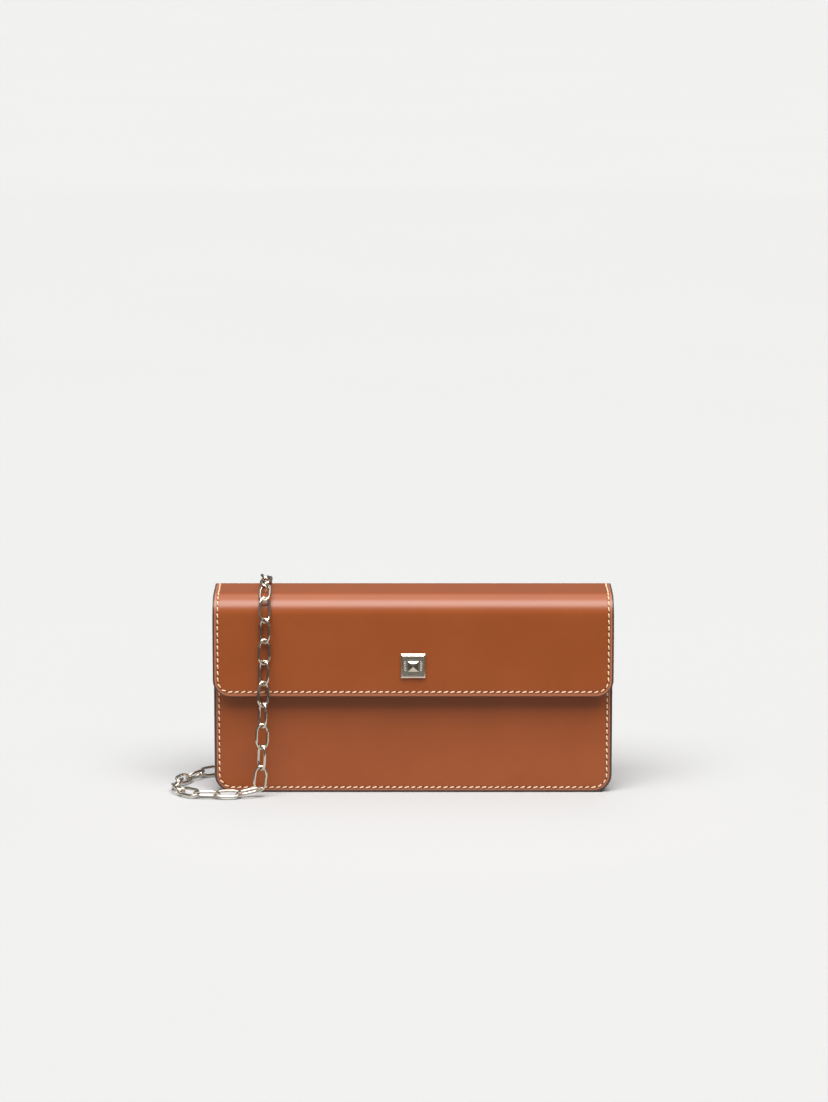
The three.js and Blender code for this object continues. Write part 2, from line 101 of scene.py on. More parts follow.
# The folded sheet's path, measured up the back, over the two folds and down the front.
FOLD_1 = HEIGHT - BACK_FOLD
TOP_1 = FOLD_1 + BACK_FOLD * np.pi / 2
TOP_FLAT = BACK_Y - BACK_FOLD - (FLAP_Y + FRONT_FOLD)
FOLD_2 = TOP_1 + TOP_FLAT
FRONT_1 = FOLD_2 + FRONT_FOLD * np.pi / 2
PATH_END = FRONT_1 + HEIGHT - FRONT_FOLD - FLAP_LOW
MEET = TOP_1 + TOP_FLAT / 2  # where the back sheet and the flap sheet meet on the flat top

BACK_BLEND = dict(start=(0, BACK_Y * MM, FOLD_1 * MM), end=(0, (BACK_Y - BACK_FOLD) * MM, HEIGHT * MM))
FRONT_BLEND = dict(
    start=(0, (FLAP_Y + FRONT_FOLD) * MM, HEIGHT * MM),
    end=(0, FLAP_Y * MM, (HEIGHT - FRONT_FOLD) * MM),
)


# ---- Mesh tools -------------------------------------------------------------------------------
def steps(*stops):
    """Values that rise from the first stop, in even steps between stops: (value), (value, count), ..."""
    parts = [
        np.linspace(low, high, count + 1)[1:] for (low, _), (high, count) in zip(stops, stops[1:])
    ]
    return np.concatenate([[stops[0][0]], *parts])


def quads(rows, cols, wrap_rows=False, wrap_cols=False):
    """The faces of a grid of points that are numbered row by row.
    A wrapped side joins its last line to its first."""
    r = np.arange(rows if wrap_rows else rows - 1)[:, None]
    c = np.arange(cols if wrap_cols else cols - 1)[None, :]
    r1, c1 = (r + 1) % rows, (c + 1) % cols
    corners = (r * cols + c, r1 * cols + c, r1 * cols + c1, r * cols + c1)
    return np.stack(np.broadcast_arrays(*corners), -1).reshape(-1, 4)


def patch(points, wrap_rows=False, wrap_cols=False, caps=False, **marks):
    """A grid of points with its faces, and one value per point for each mark.
    A capped grid also has one face over each open end."""
    rows, cols = points.shape[:2]
    faces = quads(rows, cols, wrap_rows, wrap_cols).tolist()
    if caps:
        faces += [list(range(cols)), list(range((rows - 1) * cols, rows * cols))]
    values = {k: np.broadcast_to(v, points.shape[:2]).ravel() for k, v in marks.items()}
    return points.reshape(-1, 3), faces, values


def closed_tube(points, **marks):
    """A tube through a row of closed sections, with a face over each end."""
    return patch(points, wrap_cols=True, caps=True, **marks)


def copies(points, wrap_rows=True, wrap_cols=True, caps=False):
    """Many copies of one small grid, all with the same faces. The first axis of points counts the copies."""
    count, rows, cols = points.shape[:3]
    starts = (np.arange(count) * rows * cols)[:, None, None]
    faces = (quads(rows, cols, wrap_rows, wrap_cols)[None] + starts).reshape(-1, 4).tolist()
    if caps:
        ends = np.stack([np.arange(cols), np.arange((rows - 1) * cols, rows * cols)])
        faces += (ends[None] + starts).reshape(-1, cols).tolist()
    return points.reshape(-1, 3), faces, {}


def make_piece(name, patches, material, weld=True, sharp=42):
    """Joins patches into one mesh object in metres: welds the points that meet, turns the faces outwards,
    and shades smooth except over edges sharper than the given angle."""
    offsets = np.cumsum([0] + [len(p) for p, _, _ in patches])
    faces = [[i + int(o) for i in f] for (_, fs, _), o in zip(patches, offsets) for f in fs]
    mesh = bpy.data.meshes.new(name)
    mesh.from_pydata(np.concatenate([p for p, _, _ in patches]) * MM, [], faces)
    for mark in sorted({m for _, _, values in patches for m in values}):
        column = np.concatenate([v.get(mark, np.zeros(len(p))) for p, _, v in patches])
        mesh.attributes.new(mark, "FLOAT", "POINT").data.foreach_set("value", column.astype(np.float32))
    work = bmesh.new()
    work.from_mesh(mesh)
    if weld:
        bmesh.ops.remove_doubles(work, verts=work.verts, dist=0.004 * MM)
    bmesh.ops.recalc_face_normals(work, faces=work.faces)
    work.to_mesh(mesh)
    work.free()
    mesh.shade_smooth()
    mesh.set_sharp_from_angle(angle=np.radians(sharp))
    mesh.materials.append(material)
    made = bpy.data.objects.new(name, mesh)
    bpy.context.scene.collection.objects.link(made)
    return made


def unit(v):
    """Directions of length one."""
    return v / np.linalg.norm(v, axis=-1, keepdims=True)


def metres(point):
    return tuple(float(c) * MM for c in point)


def wire(line, radius, plane_normal, sides=12):
    """A round wire on a closed flat loop: a circle at each point, spanned by the loop's outward direction
    and its plane's normal."""
    along = unit(np.roll(line, -1, 0) - np.roll(line, 1, 0))
    normal = np.broadcast_to(np.array(plane_normal, float), line.shape)
    out = np.cross(along, normal)
    a = np.linspace(0, 2 * np.pi, sides, endpoint=False)[None, :, None]
    return line[:, None] + radius * (np.cos(a) * out[:, None] + np.sin(a) * normal[:, None])


def smooth_route(points, spacing=0.4):
    """A route through given points: a Catmull-Rom curve, each span a cubic of its four nearest points,
    cut into even short steps."""
    p = np.vstack([2 * points[0] - points[1], points, 2 * points[-1] - points[-2]])
    t = np.linspace(0, 1, 24, endpoint=False)[None, :, None]
    a, b, c, d = p[:-3, None], p[1:-2, None], p[2:-1, None], p[3:, None]
    curve = 0.5 * (2 * b + (c - a) * t + (2 * a - 5 * b + 4 * c - d) * t**2 + (3 * b - a - 3 * c + d) * t**3)
    line = np.vstack([curve.reshape(-1, 3), points[-1:]])
    return resample(line, spacing)


def lengths(line):
    """Distance along a line of points, at each point."""
    return np.concatenate([[0], np.cumsum(np.linalg.norm(np.diff(line, axis=0), axis=1))])


def points_at(line, s):
    """The points of a line at given distances along it."""
    run = lengths(line)
    return np.stack([np.interp(s, run, column) for column in line.T], -1)


def resample(line, spacing):
    """The same line in even steps."""
    end = lengths(line)[-1]
    return points_at(line, np.linspace(0, end, max(2, int(round(end / spacing)) + 1)))


# ---- Places -----------------------------------------------------------------------------------
def on_fold(x, q, h):
    """A point of the folded sheet. q is the distance along its outer face, and h the height over that face.
    The sheet turns by q over the radius inside each fold, and its straight stretches add up between them."""
    turn_1 = np.clip((q - FOLD_1) / BACK_FOLD, 0, np.pi / 2)
    turn_2 = np.clip((q - FOLD_2) / FRONT_FOLD, 0, np.pi / 2)
    up, over, down = np.minimum(q, FOLD_1), np.clip(q - TOP_1, 0, TOP_FLAT), np.maximum(q - FRONT_1, 0)
    y = BACK_Y - BACK_FOLD * (1 - np.cos(turn_1)) - over - FRONT_FOLD * np.sin(turn_2)
    z = up + BACK_FOLD * np.sin(turn_1) - FRONT_FOLD * (1 - np.cos(turn_2)) - down
    turn = turn_1 + turn_2
    return np.stack(np.broadcast_arrays(x, y + h * np.cos(turn), z + h * np.sin(turn)), -1)


def on_back(x, t, h):
    """The back sheet runs from the middle of the top, back and down."""
    return on_fold(x, MEET - t, h)


def on_flap(x, t, h):
    """The flap sheet runs from the middle of the top, forward and down, and widens a little
    over the front fold."""
    wider = 1 + FLAP_FLARE * np.clip((t - TOP_FLAT / 2) / (2 * FRONT_FOLD), 0, 1)
    return on_fold(x * wider, MEET + t, h)


def upright(y, top, facing=-1):
    """A flat sheet that stands upright with its outer face at y, and hangs down from its top edge."""

    def place(x, t, h):
        return np.stack(np.broadcast_arrays(x, y + facing * h, top - t), -1)

    return place


def sunk(place, depth):
    """The same place, under the outer face by a depth."""
    return lambda x, t, h: place(x, t, h - depth)


# ---- Sheets of leather ------------------------------------------------------------------------
class Outline:
    """The two sides and the far end of a sheet lying flat, x across it and t along it from its straight end.
    Each station has a centre on the rectangle that is set in by the corner radius, and a direction out
    from it."""

    def __init__(self, width, length, corner, sides=None, step=3.0):
        half, reach = width / 2 - corner, length - corner
        self.corner, self.width, self.length = corner, width, length
        self.sides = np.linspace(0, reach, max(2, int(reach / step) + 1)) if sides is None else sides
        self.across = np.linspace(-half, half, max(2, int(2 * half / step) + 1))
        turn = np.linspace(0, np.pi / 2, 9)[1:-1]
        n, m, c = len(self.sides), len(self.across), len(turn)
        self.x = np.concatenate([np.full(n + c, -half), self.across, np.full(n + c, half)])
        self.t = np.concatenate([self.sides, np.full(2 * c + m, reach), self.sides[::-1]])
        outward = [np.zeros(n), turn, np.full(m, np.pi / 2), np.pi - turn[::-1], np.full(n, np.pi)]
        outward = np.concatenate(outward)
        self.nx, self.nt = -np.cos(outward), np.sin(outward)

    def line(self, inset):
        """The outline set in from the edge: out from each centre by the corner radius less the inset."""
        out = self.corner - inset
        return np.stack([self.x + self.nx * out, self.t + self.nt * out], -1)

    def stitches(self, skip=0.0):
        """How many stitches the row takes, and the distance along it, counted in stitches.
        skip leaves out its two ends."""
        run = lengths(self.line(SEAM_INSET))
        count = int(round((run[-1] - 2 * skip) / STITCH_PITCH))
        return count, (run - skip) * count / (run[-1] - 2 * skip)


SECTION_REACH = 9.0  # how far in from the edge a sheet's section goes, at most
EDGE_STEPS = np.array([1.0, 0.62, 0.45, 0.36, 0.32, 0.28, 0.24, 0.2, 0.13])  # shares of that reach
GROOVE_SPREAD = 0.5
EDGE_ROUND = 0.55  # how far in from the edge its rounding starts, at most


def edge_section(corner, thickness, groove):
    """The section through a sheet's edge, as distance in from the edge and height over the outer face.
    The outer face dips at the row of stitches as a bell curve, and the edge is a half ellipse."""
    flat = EDGE_STEPS * min(corner, SECTION_REACH)
    flat[0] = corner
    dip = -groove * np.exp(-(((flat - SEAM_INSET) / GROOVE_SPREAD) ** 2))
    rim = min(EDGE_ROUND, thickness / 2 + 0.05)
    turn = np.linspace(0, np.pi / 2, 6)
    edge_d = rim * (1 - np.sin(turn))
    edge_h = -thickness / 2 * (1 - np.cos(turn))
    half_d, half_h = np.concatenate([flat, edge_d]), np.concatenate([dip, edge_h])
    under_h = -thickness - np.where(np.arange(len(half_h)) < len(flat), 0, half_h)
    return np.concatenate([half_d, half_d[-2::-1]]), np.concatenate([half_h, under_h[-2::-1]])


def sheet_patches(outline, place, thickness, groove=0.0, rounded=False, skip=0.0, painted=0.0):
    """A sheet of even thickness: its edge section carried round the outline, a grid over the middle
    of each face, and its straight end closed flat or as a half round. painted widens the dark rim
    of the far end as painted shade; at one it is as wide as along the sides, where it is painted shade too."""
    d, h = edge_section(outline.corner, thickness, groove)
    out = outline.corner - d[None]
    x = outline.x[:, None] + outline.nx[:, None] * out
    t = outline.t[:, None] + outline.nt[:, None] * out
    along = outline.stitches(skip)[1][:, None]
    # side widens the dark rim beyond the edge paint as painted shade: where the edge faces sideways, and
    # along the far end by painted
    side = np.maximum(np.abs(outline.nx), painted)[:, None]
    gx, gt = np.meshgrid(outline.across, outline.sides)
    middle = len(d) // 2
    flat = np.zeros(len(outline.across))
    row_x = np.concatenate([x[0, middle::-1], outline.across, x[-1, : middle + 1]])
    row_top = np.concatenate([h[middle::-1], flat, h[: middle + 1]])
    row_under = np.concatenate([h[middle:], flat - thickness, h[: middle - 1 : -1]])
    lean = np.linspace(0, np.pi, 7 if rounded else 2)[:, None]
    half, mid = (row_top - row_under) / 2, (row_top + row_under) / 2
    end_t = -half * np.sin(lean) * float(rounded)
    end_inset = np.minimum(outline.width / 2 - np.abs(row_x), SECTION_REACH)
    plain = dict(along=NO_HOLES, inset=outline.corner)
    end = place(row_x + 0 * lean, end_t, mid + half * np.cos(lean))
    return [
        patch(place(x, t, np.broadcast_to(h, x.shape)), along=along, inset=d[None], side=side),
        patch(place(gx, gt, np.zeros_like(gx)), **plain),
        patch(place(gx, gt, np.full_like(gx, -thickness)), **plain),
        patch(end, along=NO_HOLES, inset=end_inset[None]),
    ]


def seam_spots(outline, skip=0.0):
    """Even places along a row of stitches, with the direction of the row at each.
    skip leaves out the row's two ends."""
    row = outline.line(SEAM_INSET)
    count, _ = outline.stitches(skip)
    s = skip + (np.arange(count) + 0.5) * (lengths(row)[-1] - 2 * skip) / count
    way = unit(points_at(row, s + 0.1) - points_at(row, s - 0.1))
    return *points_at(row, s).T, *way.T


STITCH_LONG = 2.5
STITCH_RISE, STITCH_DIVE = 0.16, 0.42  # height of a thread's middle, and how far its ends lie under that
STITCH_LEAN, STITCH_LEAN_ACROSS = 8.0, 7.0  # degrees, and how many more where the row runs across


def stitch_patches(spots, place, seed, long=STITCH_LONG):
    """A row of stitches. Each is a short thread, round in section and thinner to its ends, that arches
    over the leather with both ends in it, and leans against the row."""
    px, pt, dx, dt = (v[:, None, None] for v in spots)
    vary = np.random.default_rng(seed).normal(0, 1, (3, len(px), 1, 1))
    u = np.linspace(-1, 1, 7)[None, :, None]
    v = np.linspace(0, 2 * np.pi, 6, endpoint=False)[None, None, :]
    thick = THREAD / 2 * (1 - 0.55 * u**4) * (1 + 0.05 * vary[0])
    a = long / 2 * u * (1 + 0.03 * vary[1]) + 0 * v
    b = thick * np.cos(v)
    c = STITCH_RISE - STITCH_DIVE * u**4 + thick * np.sin(v) * 0.85
    angle = -np.radians(STITCH_LEAN + STITCH_LEAN_ACROSS * np.abs(dx) + 2.0 * vary[2])
    ax, at = dx * np.cos(angle) - dt * np.sin(angle), dx * np.sin(angle) + dt * np.cos(angle)
    x = px + ax * a - at * b
    t = pt + at * a + ax * b
    return [copies(place(x, t, np.broadcast_to(c, x.shape)), wrap_rows=False, caps=True)]


# ---- Materials --------------------------------------------------------------------------------
class Wiring:
    """A node tree that is filled by calls. Most make a node, set it up and give back one of its outputs."""

    def __init__(self, tree):
        self.tree = tree

    def node(self, kind, inputs=None, **settings):
        made = self.tree.nodes.new("ShaderNode" + kind)
        for key, value in settings.items():
            setattr(made, key, value)
        for key, value in (inputs or {}).items():
            if isinstance(value, bpy.types.NodeSocket):
                self.tree.links.new(value, made.inputs[key])
            else:
                made.inputs[key].default_value = value
        return made

    def feed(self, made, **values):
        """Links values to a node's inputs, which are named with _ for a space."""
        for key, value in values.items():
            self.tree.links.new(value, made.inputs[key.replace("_", " ")])

    def math(self, operation, *values):
        return self.node("Math", dict(enumerate(values)), operation=operation).outputs[0]

    def step(self, value, low, high):
        """A smooth step from nothing to one between two values."""
        inputs = {"Value": value, "From Min": low, "From Max": high}
        return self.node("MapRange", inputs, interpolation_type="SMOOTHSTEP").outputs["Result"]

    def mix(self, factor, a, b):
        """A colour between two others; 0, 6 and 7 are the colour mixer's own inputs."""
        return self.node("Mix", {0: factor, 6: a, 7: b}, data_type="RGBA").outputs[2]

    def noise(self, where, scale, detail=3.0, roughness=0.5):
        inputs = {"Vector": where, "Scale": scale, "Detail": detail, "Roughness": roughness}
        return self.node("TexNoise", inputs).outputs["Fac"]

    def place(self):
        return self.node("TexCoord").outputs["Object"]

    def mark(self, name):
        return self.node("Attribute", attribute_name=name).outputs["Fac"]

    def stretched(self, where, scale):
        return self.node("Mapping", {"Vector": where, "Scale": scale}).outputs["Vector"]


def make_group(name, inputs, outputs, fill):
    """A node group with named number inputs and outputs; fill wires it and gives the outputs back by name."""
    group = bpy.data.node_groups.new(name, "ShaderNodeTree")
    number = dict(socket_type="NodeSocketFloat")
    for socket, default in inputs.items():
        group.interface.new_socket(socket, in_out="INPUT", **number).default_value = default
    for socket in outputs:
        group.interface.new_socket(socket, in_out="OUTPUT", **number)
    source, sink = group.nodes.new("NodeGroupInput"), group.nodes.new("NodeGroupOutput")
    wiring = Wiring(group)
    for socket, value in fill(wiring, source.outputs).items():
        group.links.new(value, sink.inputs[socket])
    return group


def fill_grain(w, given):
    """Calf grain: fine cells with soft creases between them, broken up by a finer noise.
    Mottle is the slow change of tone."""
    where = w.place()
    cells = w.node("TexVoronoi", {"Vector": where, "Scale": given["Cells"]}, feature="SMOOTH_F1")
    fine = w.noise(where, w.math("MULTIPLY", given["Cells"], 2.6), 4.0, 0.6)
    broad = w.noise(where, 34.0, 4.0, 0.55)
    height = w.math("ADD", w.math("MULTIPLY", cells.outputs["Distance"], 0.8), w.math("MULTIPLY", fine, 0.5))
    pores = w.step(fine, 0.62, 0.74)
    return {"Height": height, "Mottle": broad, "Pores": pores}


# Distances in from a sheet's edge where something starts and is full: for the painted highlight on the rolled
# band, and for the painted shade in the stitch holes and along the row of stitches.
HIGHLIGHT_BAND_INNER, HIGHLIGHT_BAND_OUTER = (2.0, 1.45), (0.5, 0.8)
HOLE_ROUND = (0.42, 0.24)  # from a hole's middle
HOLE_LIMIT = (3.6, 3.4)
GROOVE_SHADE = (0.95, 0.35)  # from the row of stitches


def fill_edges(w, given):
    """Where a sheet's edge is painted, wider where it faces sideways as painted shade; the rolled band
    between the stitches and the edge, for a painted highlight; and the round holes at even steps along the
    row of stitches and the groove along it, for painted shade."""
    inset, along = w.mark("inset"), w.mark("along")
    wobble = w.math("MULTIPLY", w.noise(w.place(), 900.0, 2.0), 0.22)
    # the dark rim: half a millimetre of edge paint, and up to more again of painted shade where the edge
    # faces sideways or along the front base
    reach = w.math("ADD", w.math("MULTIPLY", w.mark("side"), 0.5), 0.5)
    rim = w.step(w.math("SUBTRACT", w.math("ADD", inset, wobble), reach), 0.1, -0.1)
    band = w.math("MULTIPLY", w.step(inset, *HIGHLIGHT_BAND_INNER), w.step(inset, *HIGHLIGHT_BAND_OUTER))
    gap = w.math("FRACT", along)
    near = w.math("MULTIPLY", w.math("MINIMUM", gap, w.math("SUBTRACT", 1.0, gap)), given["Pitch"])
    aside = w.math("SUBTRACT", inset, SEAM_INSET)
    far = w.math("SQRT", w.math("ADD", w.math("MULTIPLY", near, near), w.math("MULTIPLY", aside, aside)))
    holes = w.math("MULTIPLY", w.step(far, *HOLE_ROUND), w.step(inset, *HOLE_LIMIT))
    shade = w.step(w.math("ABSOLUTE", aside), *GROOVE_SHADE)
    return {"Rim": rim, "Band": band, "Holes": holes, "Groove": shade}


def fill_wear(w, given):
    """Handled metal: fine scratches in two directions and a slow change of polish."""
    where = w.place()
    one = w.noise(w.stretched(where, (900.0, 900.0, 60.0)), 1.0, 3.0, 0.7)
    two = w.noise(w.stretched(where, (60.0, 700.0, 900.0)), 1.0, 3.0, 0.7)
    slow = w.noise(where, 180.0, 3.0)
    scratches = w.step(w.math("MAXIMUM", one, two), 0.58, 0.78)
    return {"Scratches": scratches, "Polish": slow}


def fill_weave(w, given):
    """Plain weave: raised threads that cross over and under, from two waves at right angles."""
    where = w.place()
    across = w.node("SeparateXYZ", {"Vector": where})
    x = w.math("SINE", w.math("MULTIPLY", across.outputs["X"], given["Threads"]))
    depth = w.math("ADD", across.outputs["Y"], across.outputs["Z"])
    y = w.math("SINE", w.math("MULTIPLY", depth, given["Threads"]))
    crossing = w.math("MULTIPLY", x, y)
    fuzz = w.noise(where, 2600.0, 3.0)
    height = w.math("ADD", w.math("MULTIPLY", crossing, 0.5), w.math("MULTIPLY", fuzz, 0.6))
    return {"Height": height}


GRAIN = make_group("calf_grain", {"Cells": 1500.0}, ["Height", "Mottle", "Pores"], fill_grain)
EDGES = make_group(
    "stitched_edges", {"Pitch": STITCH_PITCH}, ["Rim", "Band", "Holes", "Groove"], fill_edges
)
WEAR = make_group("handled_metal", {}, ["Scratches", "Polish"], fill_wear)
WEAVE = make_group("plain_weave", {"Threads": 9000.0}, ["Height"], fill_weave)


def new_material(name, **values):
    """A material with a Principled shader, its uniform values set on the shader's own sockets."""
    made = bpy.data.materials.new(name)
    made.use_nodes = True
    shader = made.node_tree.nodes["Principled BSDF"]
    for key, value in values.items():
        shader.inputs[key.replace("_", " ")].default_value = value
    return made, Wiring(made.node_tree), shader


def grouped(w, group, inputs=None):
    return w.node("Group", inputs, node_tree=group).outputs


def bump(w, shader, height, strength, distance):
    made = w.node("Bump", {"Height": height, "Strength": strength, "Distance": distance})
    w.feed(shader, Normal=made.outputs["Normal"])


def rgb(red, green, blue):
    """A colour from its 8-bit screen values."""
    c = np.array([red, green, blue]) / 255
    linear = np.where(c <= 0.04045, c / 12.92, ((c + 0.055) / 1.055) ** 2.4)
    return (*[float(v) for v in linear], 1.0)


def calf_leather():
    """Polished tan calf: mottled tone, darker pores, a painted highlight on the rolled band at stitched
    edges, painted shade in its holes and groove, and a dark rim of edge paint widened by painted shade at
    sides and base."""
    coat = dict(Specular_IOR_Level=0.28, Coat_Weight=0.36, Coat_Roughness=0.28)
    made, w, shader = new_material("polished_calf", **coat)
    grain, edges = grouped(w, GRAIN), grouped(w, EDGES)
    tone = w.mix(w.step(grain["Mottle"], 0.25, 0.75), rgb(127, 60, 18), rgb(132, 64, 21))
    tone = w.mix(w.math("MULTIPLY", grain["Pores"], 0.2), tone, rgb(100, 44, 15))
    # painted shade along the groove that the row of stitches pulls in
    tone = w.mix(w.math("MULTIPLY", edges["Groove"], 0.3), tone, rgb(96, 43, 20))
    # painted highlight on the rolled band between the stitches and the edge
    tone = w.mix(w.math("MULTIPLY", edges["Band"], 0.75), tone, rgb(152, 96, 68))
    # painted shade in the stitch holes
    tone = w.mix(edges["Holes"], tone, rgb(66, 34, 20))
    # dark rim: edge paint, widened into painted shade along the sides and the front panel's base
    tone = w.mix(edges["Rim"], tone, rgb(66, 46, 40))
    rough = w.math("MULTIPLY_ADD", grain["Mottle"], 0.06, 0.36)
    rough = w.math("MULTIPLY_ADD", edges["Band"], 0.08, rough)
    w.feed(shader, Base_Color=tone, Roughness=rough)
    pressed = w.math("SUBTRACT", w.math("MULTIPLY", grain["Height"], 0.05), edges["Holes"])
    bump(w, shader, pressed, 0.5, 0.0003)
    return made


def lining_leather():
    """Natural split lining: matte, with a fine nap, slow changes of tone, and darker edges of edge paint that
    are wider along the sides as painted shade.
    """
    made, w, shader = new_material("natural_lining", Sheen_Weight=0.25, Sheen_Roughness=0.5)
    grain, edges = grouped(w, GRAIN, {"Cells": 2300.0}), grouped(w, EDGES)
    tone = w.mix(w.step(grain["Mottle"], 0.3, 0.72), rgb(172, 122, 82), rgb(190, 142, 100))
    tone = w.mix(w.math("MULTIPLY", grain["Pores"], 0.35), tone, rgb(150, 100, 64))
    # darker rim: edge paint, wider along the sides as painted shade
    tone = w.mix(w.math("MULTIPLY", edges["Rim"], 0.7), tone, rgb(120, 82, 60))
    w.feed(shader, Base_Color=tone, Roughness=w.math("MULTIPLY_ADD", grain["Mottle"], 0.2, 0.62))
    bump(w, shader, grain["Height"], 0.35, 0.0002)
    return made


def linen_thread():
    """Waxed cream thread with its twist and a little fuzz."""
    made, w, shader = new_material("waxed_thread", Roughness=0.6, Sheen_Weight=0.2)
    twist = w.noise(w.stretched(w.place(), (3800.0, 3800.0, 3800.0)), 1.0, 2.0)
    tone = w.mix(w.step(twist, 0.35, 0.65), rgb(192, 150, 116), rgb(228, 192, 158))
    w.feed(shader, Base_Color=tone)
    bump(w, shader, twist, 0.6, 0.0001)
    return made


def polished_metal(name, light, dark, rough, spread):
    """Plated metal: a mirror finish, dulled a little where it is scratched or handled."""
    made, w, shader = new_material(name, Metallic=1.0)
    wear = grouped(w, WEAR)
    tone = w.mix(w.math("MULTIPLY", wear["Polish"], 0.6), light, dark)
    rough_now = w.math("MULTIPLY_ADD", wear["Scratches"], spread, rough)
    w.feed(shader, Base_Color=tone, Roughness=w.math("MULTIPLY_ADD", wear["Polish"], 0.06, rough_now))
    bump(w, shader, wear["Scratches"], 0.06, 0.00004)
    return made


def brushed_metal():
    """Nickel brushed up and down: long fine lines that change tone, roughness and height together.
    Bevels are smoother, and lighter as a painted highlight."""
    made, w, shader = new_material("brushed_nickel", Metallic=1.0)
    lines = w.noise(w.stretched(w.place(), (5200.0, 5200.0, 140.0)), 1.0, 3.0, 0.65)
    wear = grouped(w, WEAR)
    bevel = w.mark("bevel")
    tone = w.mix(w.step(lines, 0.3, 0.7), rgb(164, 158, 144), rgb(194, 188, 174))
    # painted highlight: the bevels made lighter than the nickel
    tone = w.mix(bevel, tone, rgb(240, 234, 226))
    rough = w.math("MULTIPLY_ADD", lines, 0.2, w.math("MULTIPLY_ADD", bevel, -0.16, 0.24))
    rough = w.math("MULTIPLY_ADD", wear["Scratches"], 0.06, rough)
    w.feed(shader, Base_Color=tone, Roughness=rough)
    bump(w, shader, lines, 0.25, 0.00005)
    return made


def woven(name, light, dark):
    """A woven band: raised threads with fuzz, with a painted highlight on top of each thread and painted
    shade between.
    """
    made, w, shader = new_material(name, Roughness=0.85, Sheen_Weight=0.3)
    height = grouped(w, WEAVE)["Height"]
    # painted highlight on the top of each thread and painted shade between them, from the weave's height
    w.feed(shader, Base_Color=w.mix(w.step(height, 0.0, 0.8), dark, light))
    bump(w, shader, height, 0.6, 0.00012)
    return made


CALF = calf_leather()
SUEDE = lining_leather()
THREAD_LOOK = linen_thread()
NICKEL = polished_metal("polished_nickel", rgb(214, 205, 192), rgb(190, 180, 164), 0.08, 0.14)
ZIP_METAL = polished_metal("zip_metal", rgb(218, 214, 206), rgb(190, 184, 172), 0.2, 0.2)
BRUSHED = brushed_metal()
TAPE = woven("zip_tape_weave", rgb(140, 94, 62), rgb(84, 52, 34))
TIE = woven("tie_weave", rgb(226, 214, 192), rgb(184, 168, 142))


def add_piece(name, patches, material, on, *replaced, **looks):
    """Makes a piece and puts it on its body, or, where on is a pair of bodies and the span of a bend,
    leaves it where it is made with its place baked into its mesh. It hides the nodes that it stands for."""
    piece = make_piece(name, patches, material, **looks)
    if isinstance(on, str):
        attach(piece, on)
    else:
        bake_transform(piece)
    if replaced:
        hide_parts(*replaced)
    return piece


def add_stitches(name, spots, place, on, seed, **sizes):
    add_piece(name, stitch_patches(spots, place, seed, **sizes), THREAD_LOOK, on, weld=False)


OVER_BACK = (("wallet_body", "flap_top"), BACK_BLEND)
OVER_FRONT = (("flap_top", "flap_front"), FRONT_BLEND)

# ---- Camera -----------------------------------------------------------------------------------
CAMERA_DISTANCE = 2300.0
CAMERA_TILT = np.radians(12)  # elevation of the camera, seen from the middle of the wallet
AIM_UP = 68.4  # how far over the wallet's middle the camera aims, square to the line to it
AIM_X = 0.4
LENS = 148.5


def add_camera():
    """A long lens in front of the wallet and a little over it."""
    middle = np.array([AIM_X, 0, HEIGHT / 2])
    back = np.array([0, -np.cos(CAMERA_TILT), np.sin(CAMERA_TILT)])
    up = np.array([0, np.sin(CAMERA_TILT), np.cos(CAMERA_TILT)])
    place = Vector(metres(middle + CAMERA_DISTANCE * back))
    aim = Vector(metres(middle + AIM_UP * up))
    camera = bpy.data.objects.new("camera", bpy.data.cameras.new("camera"))
    bpy.context.scene.collection.objects.link(camera)
    camera.data.lens = LENS
    camera.data.clip_start, camera.data.clip_end = 0.05, 60.0
    camera.location = place
    camera.rotation_euler = (aim - place).to_track_quat("-Z", "Y").to_euler()
    bpy.context.scene.camera = camera


add_camera()

# ---- Chain ------------------------------------------------------------------------------------
# Pins are where two links meet. The chain's line runs from the left connector over the top and down the flap,
# round on the floor, through the hank and up to the right connector.
PIN_REACH = CONNECTOR_START + CONNECTOR_LENGTH - 0.78  # from a ring's bar to the pin in its connector
LEFT_PIN = (-RING_X, RING_Y, RING_Z + PIN_REACH)
RIGHT_PIN = (RING_X, RING_Y, RING_Z - PIN_REACH)
HANK_TURNS = 2
CLIMB_FROM, CLIMB_SHARE = 0.66, 0.3  # shares of a turn of the hank


def round_fold(x, centre, radius, degrees):
    """Points round a fold at an even distance from its middle."""
    a = np.radians(np.array(degrees, float))
    return [(x, centre[0] + radius * np.cos(b), centre[1] + radius * np.sin(b)) for b in a]


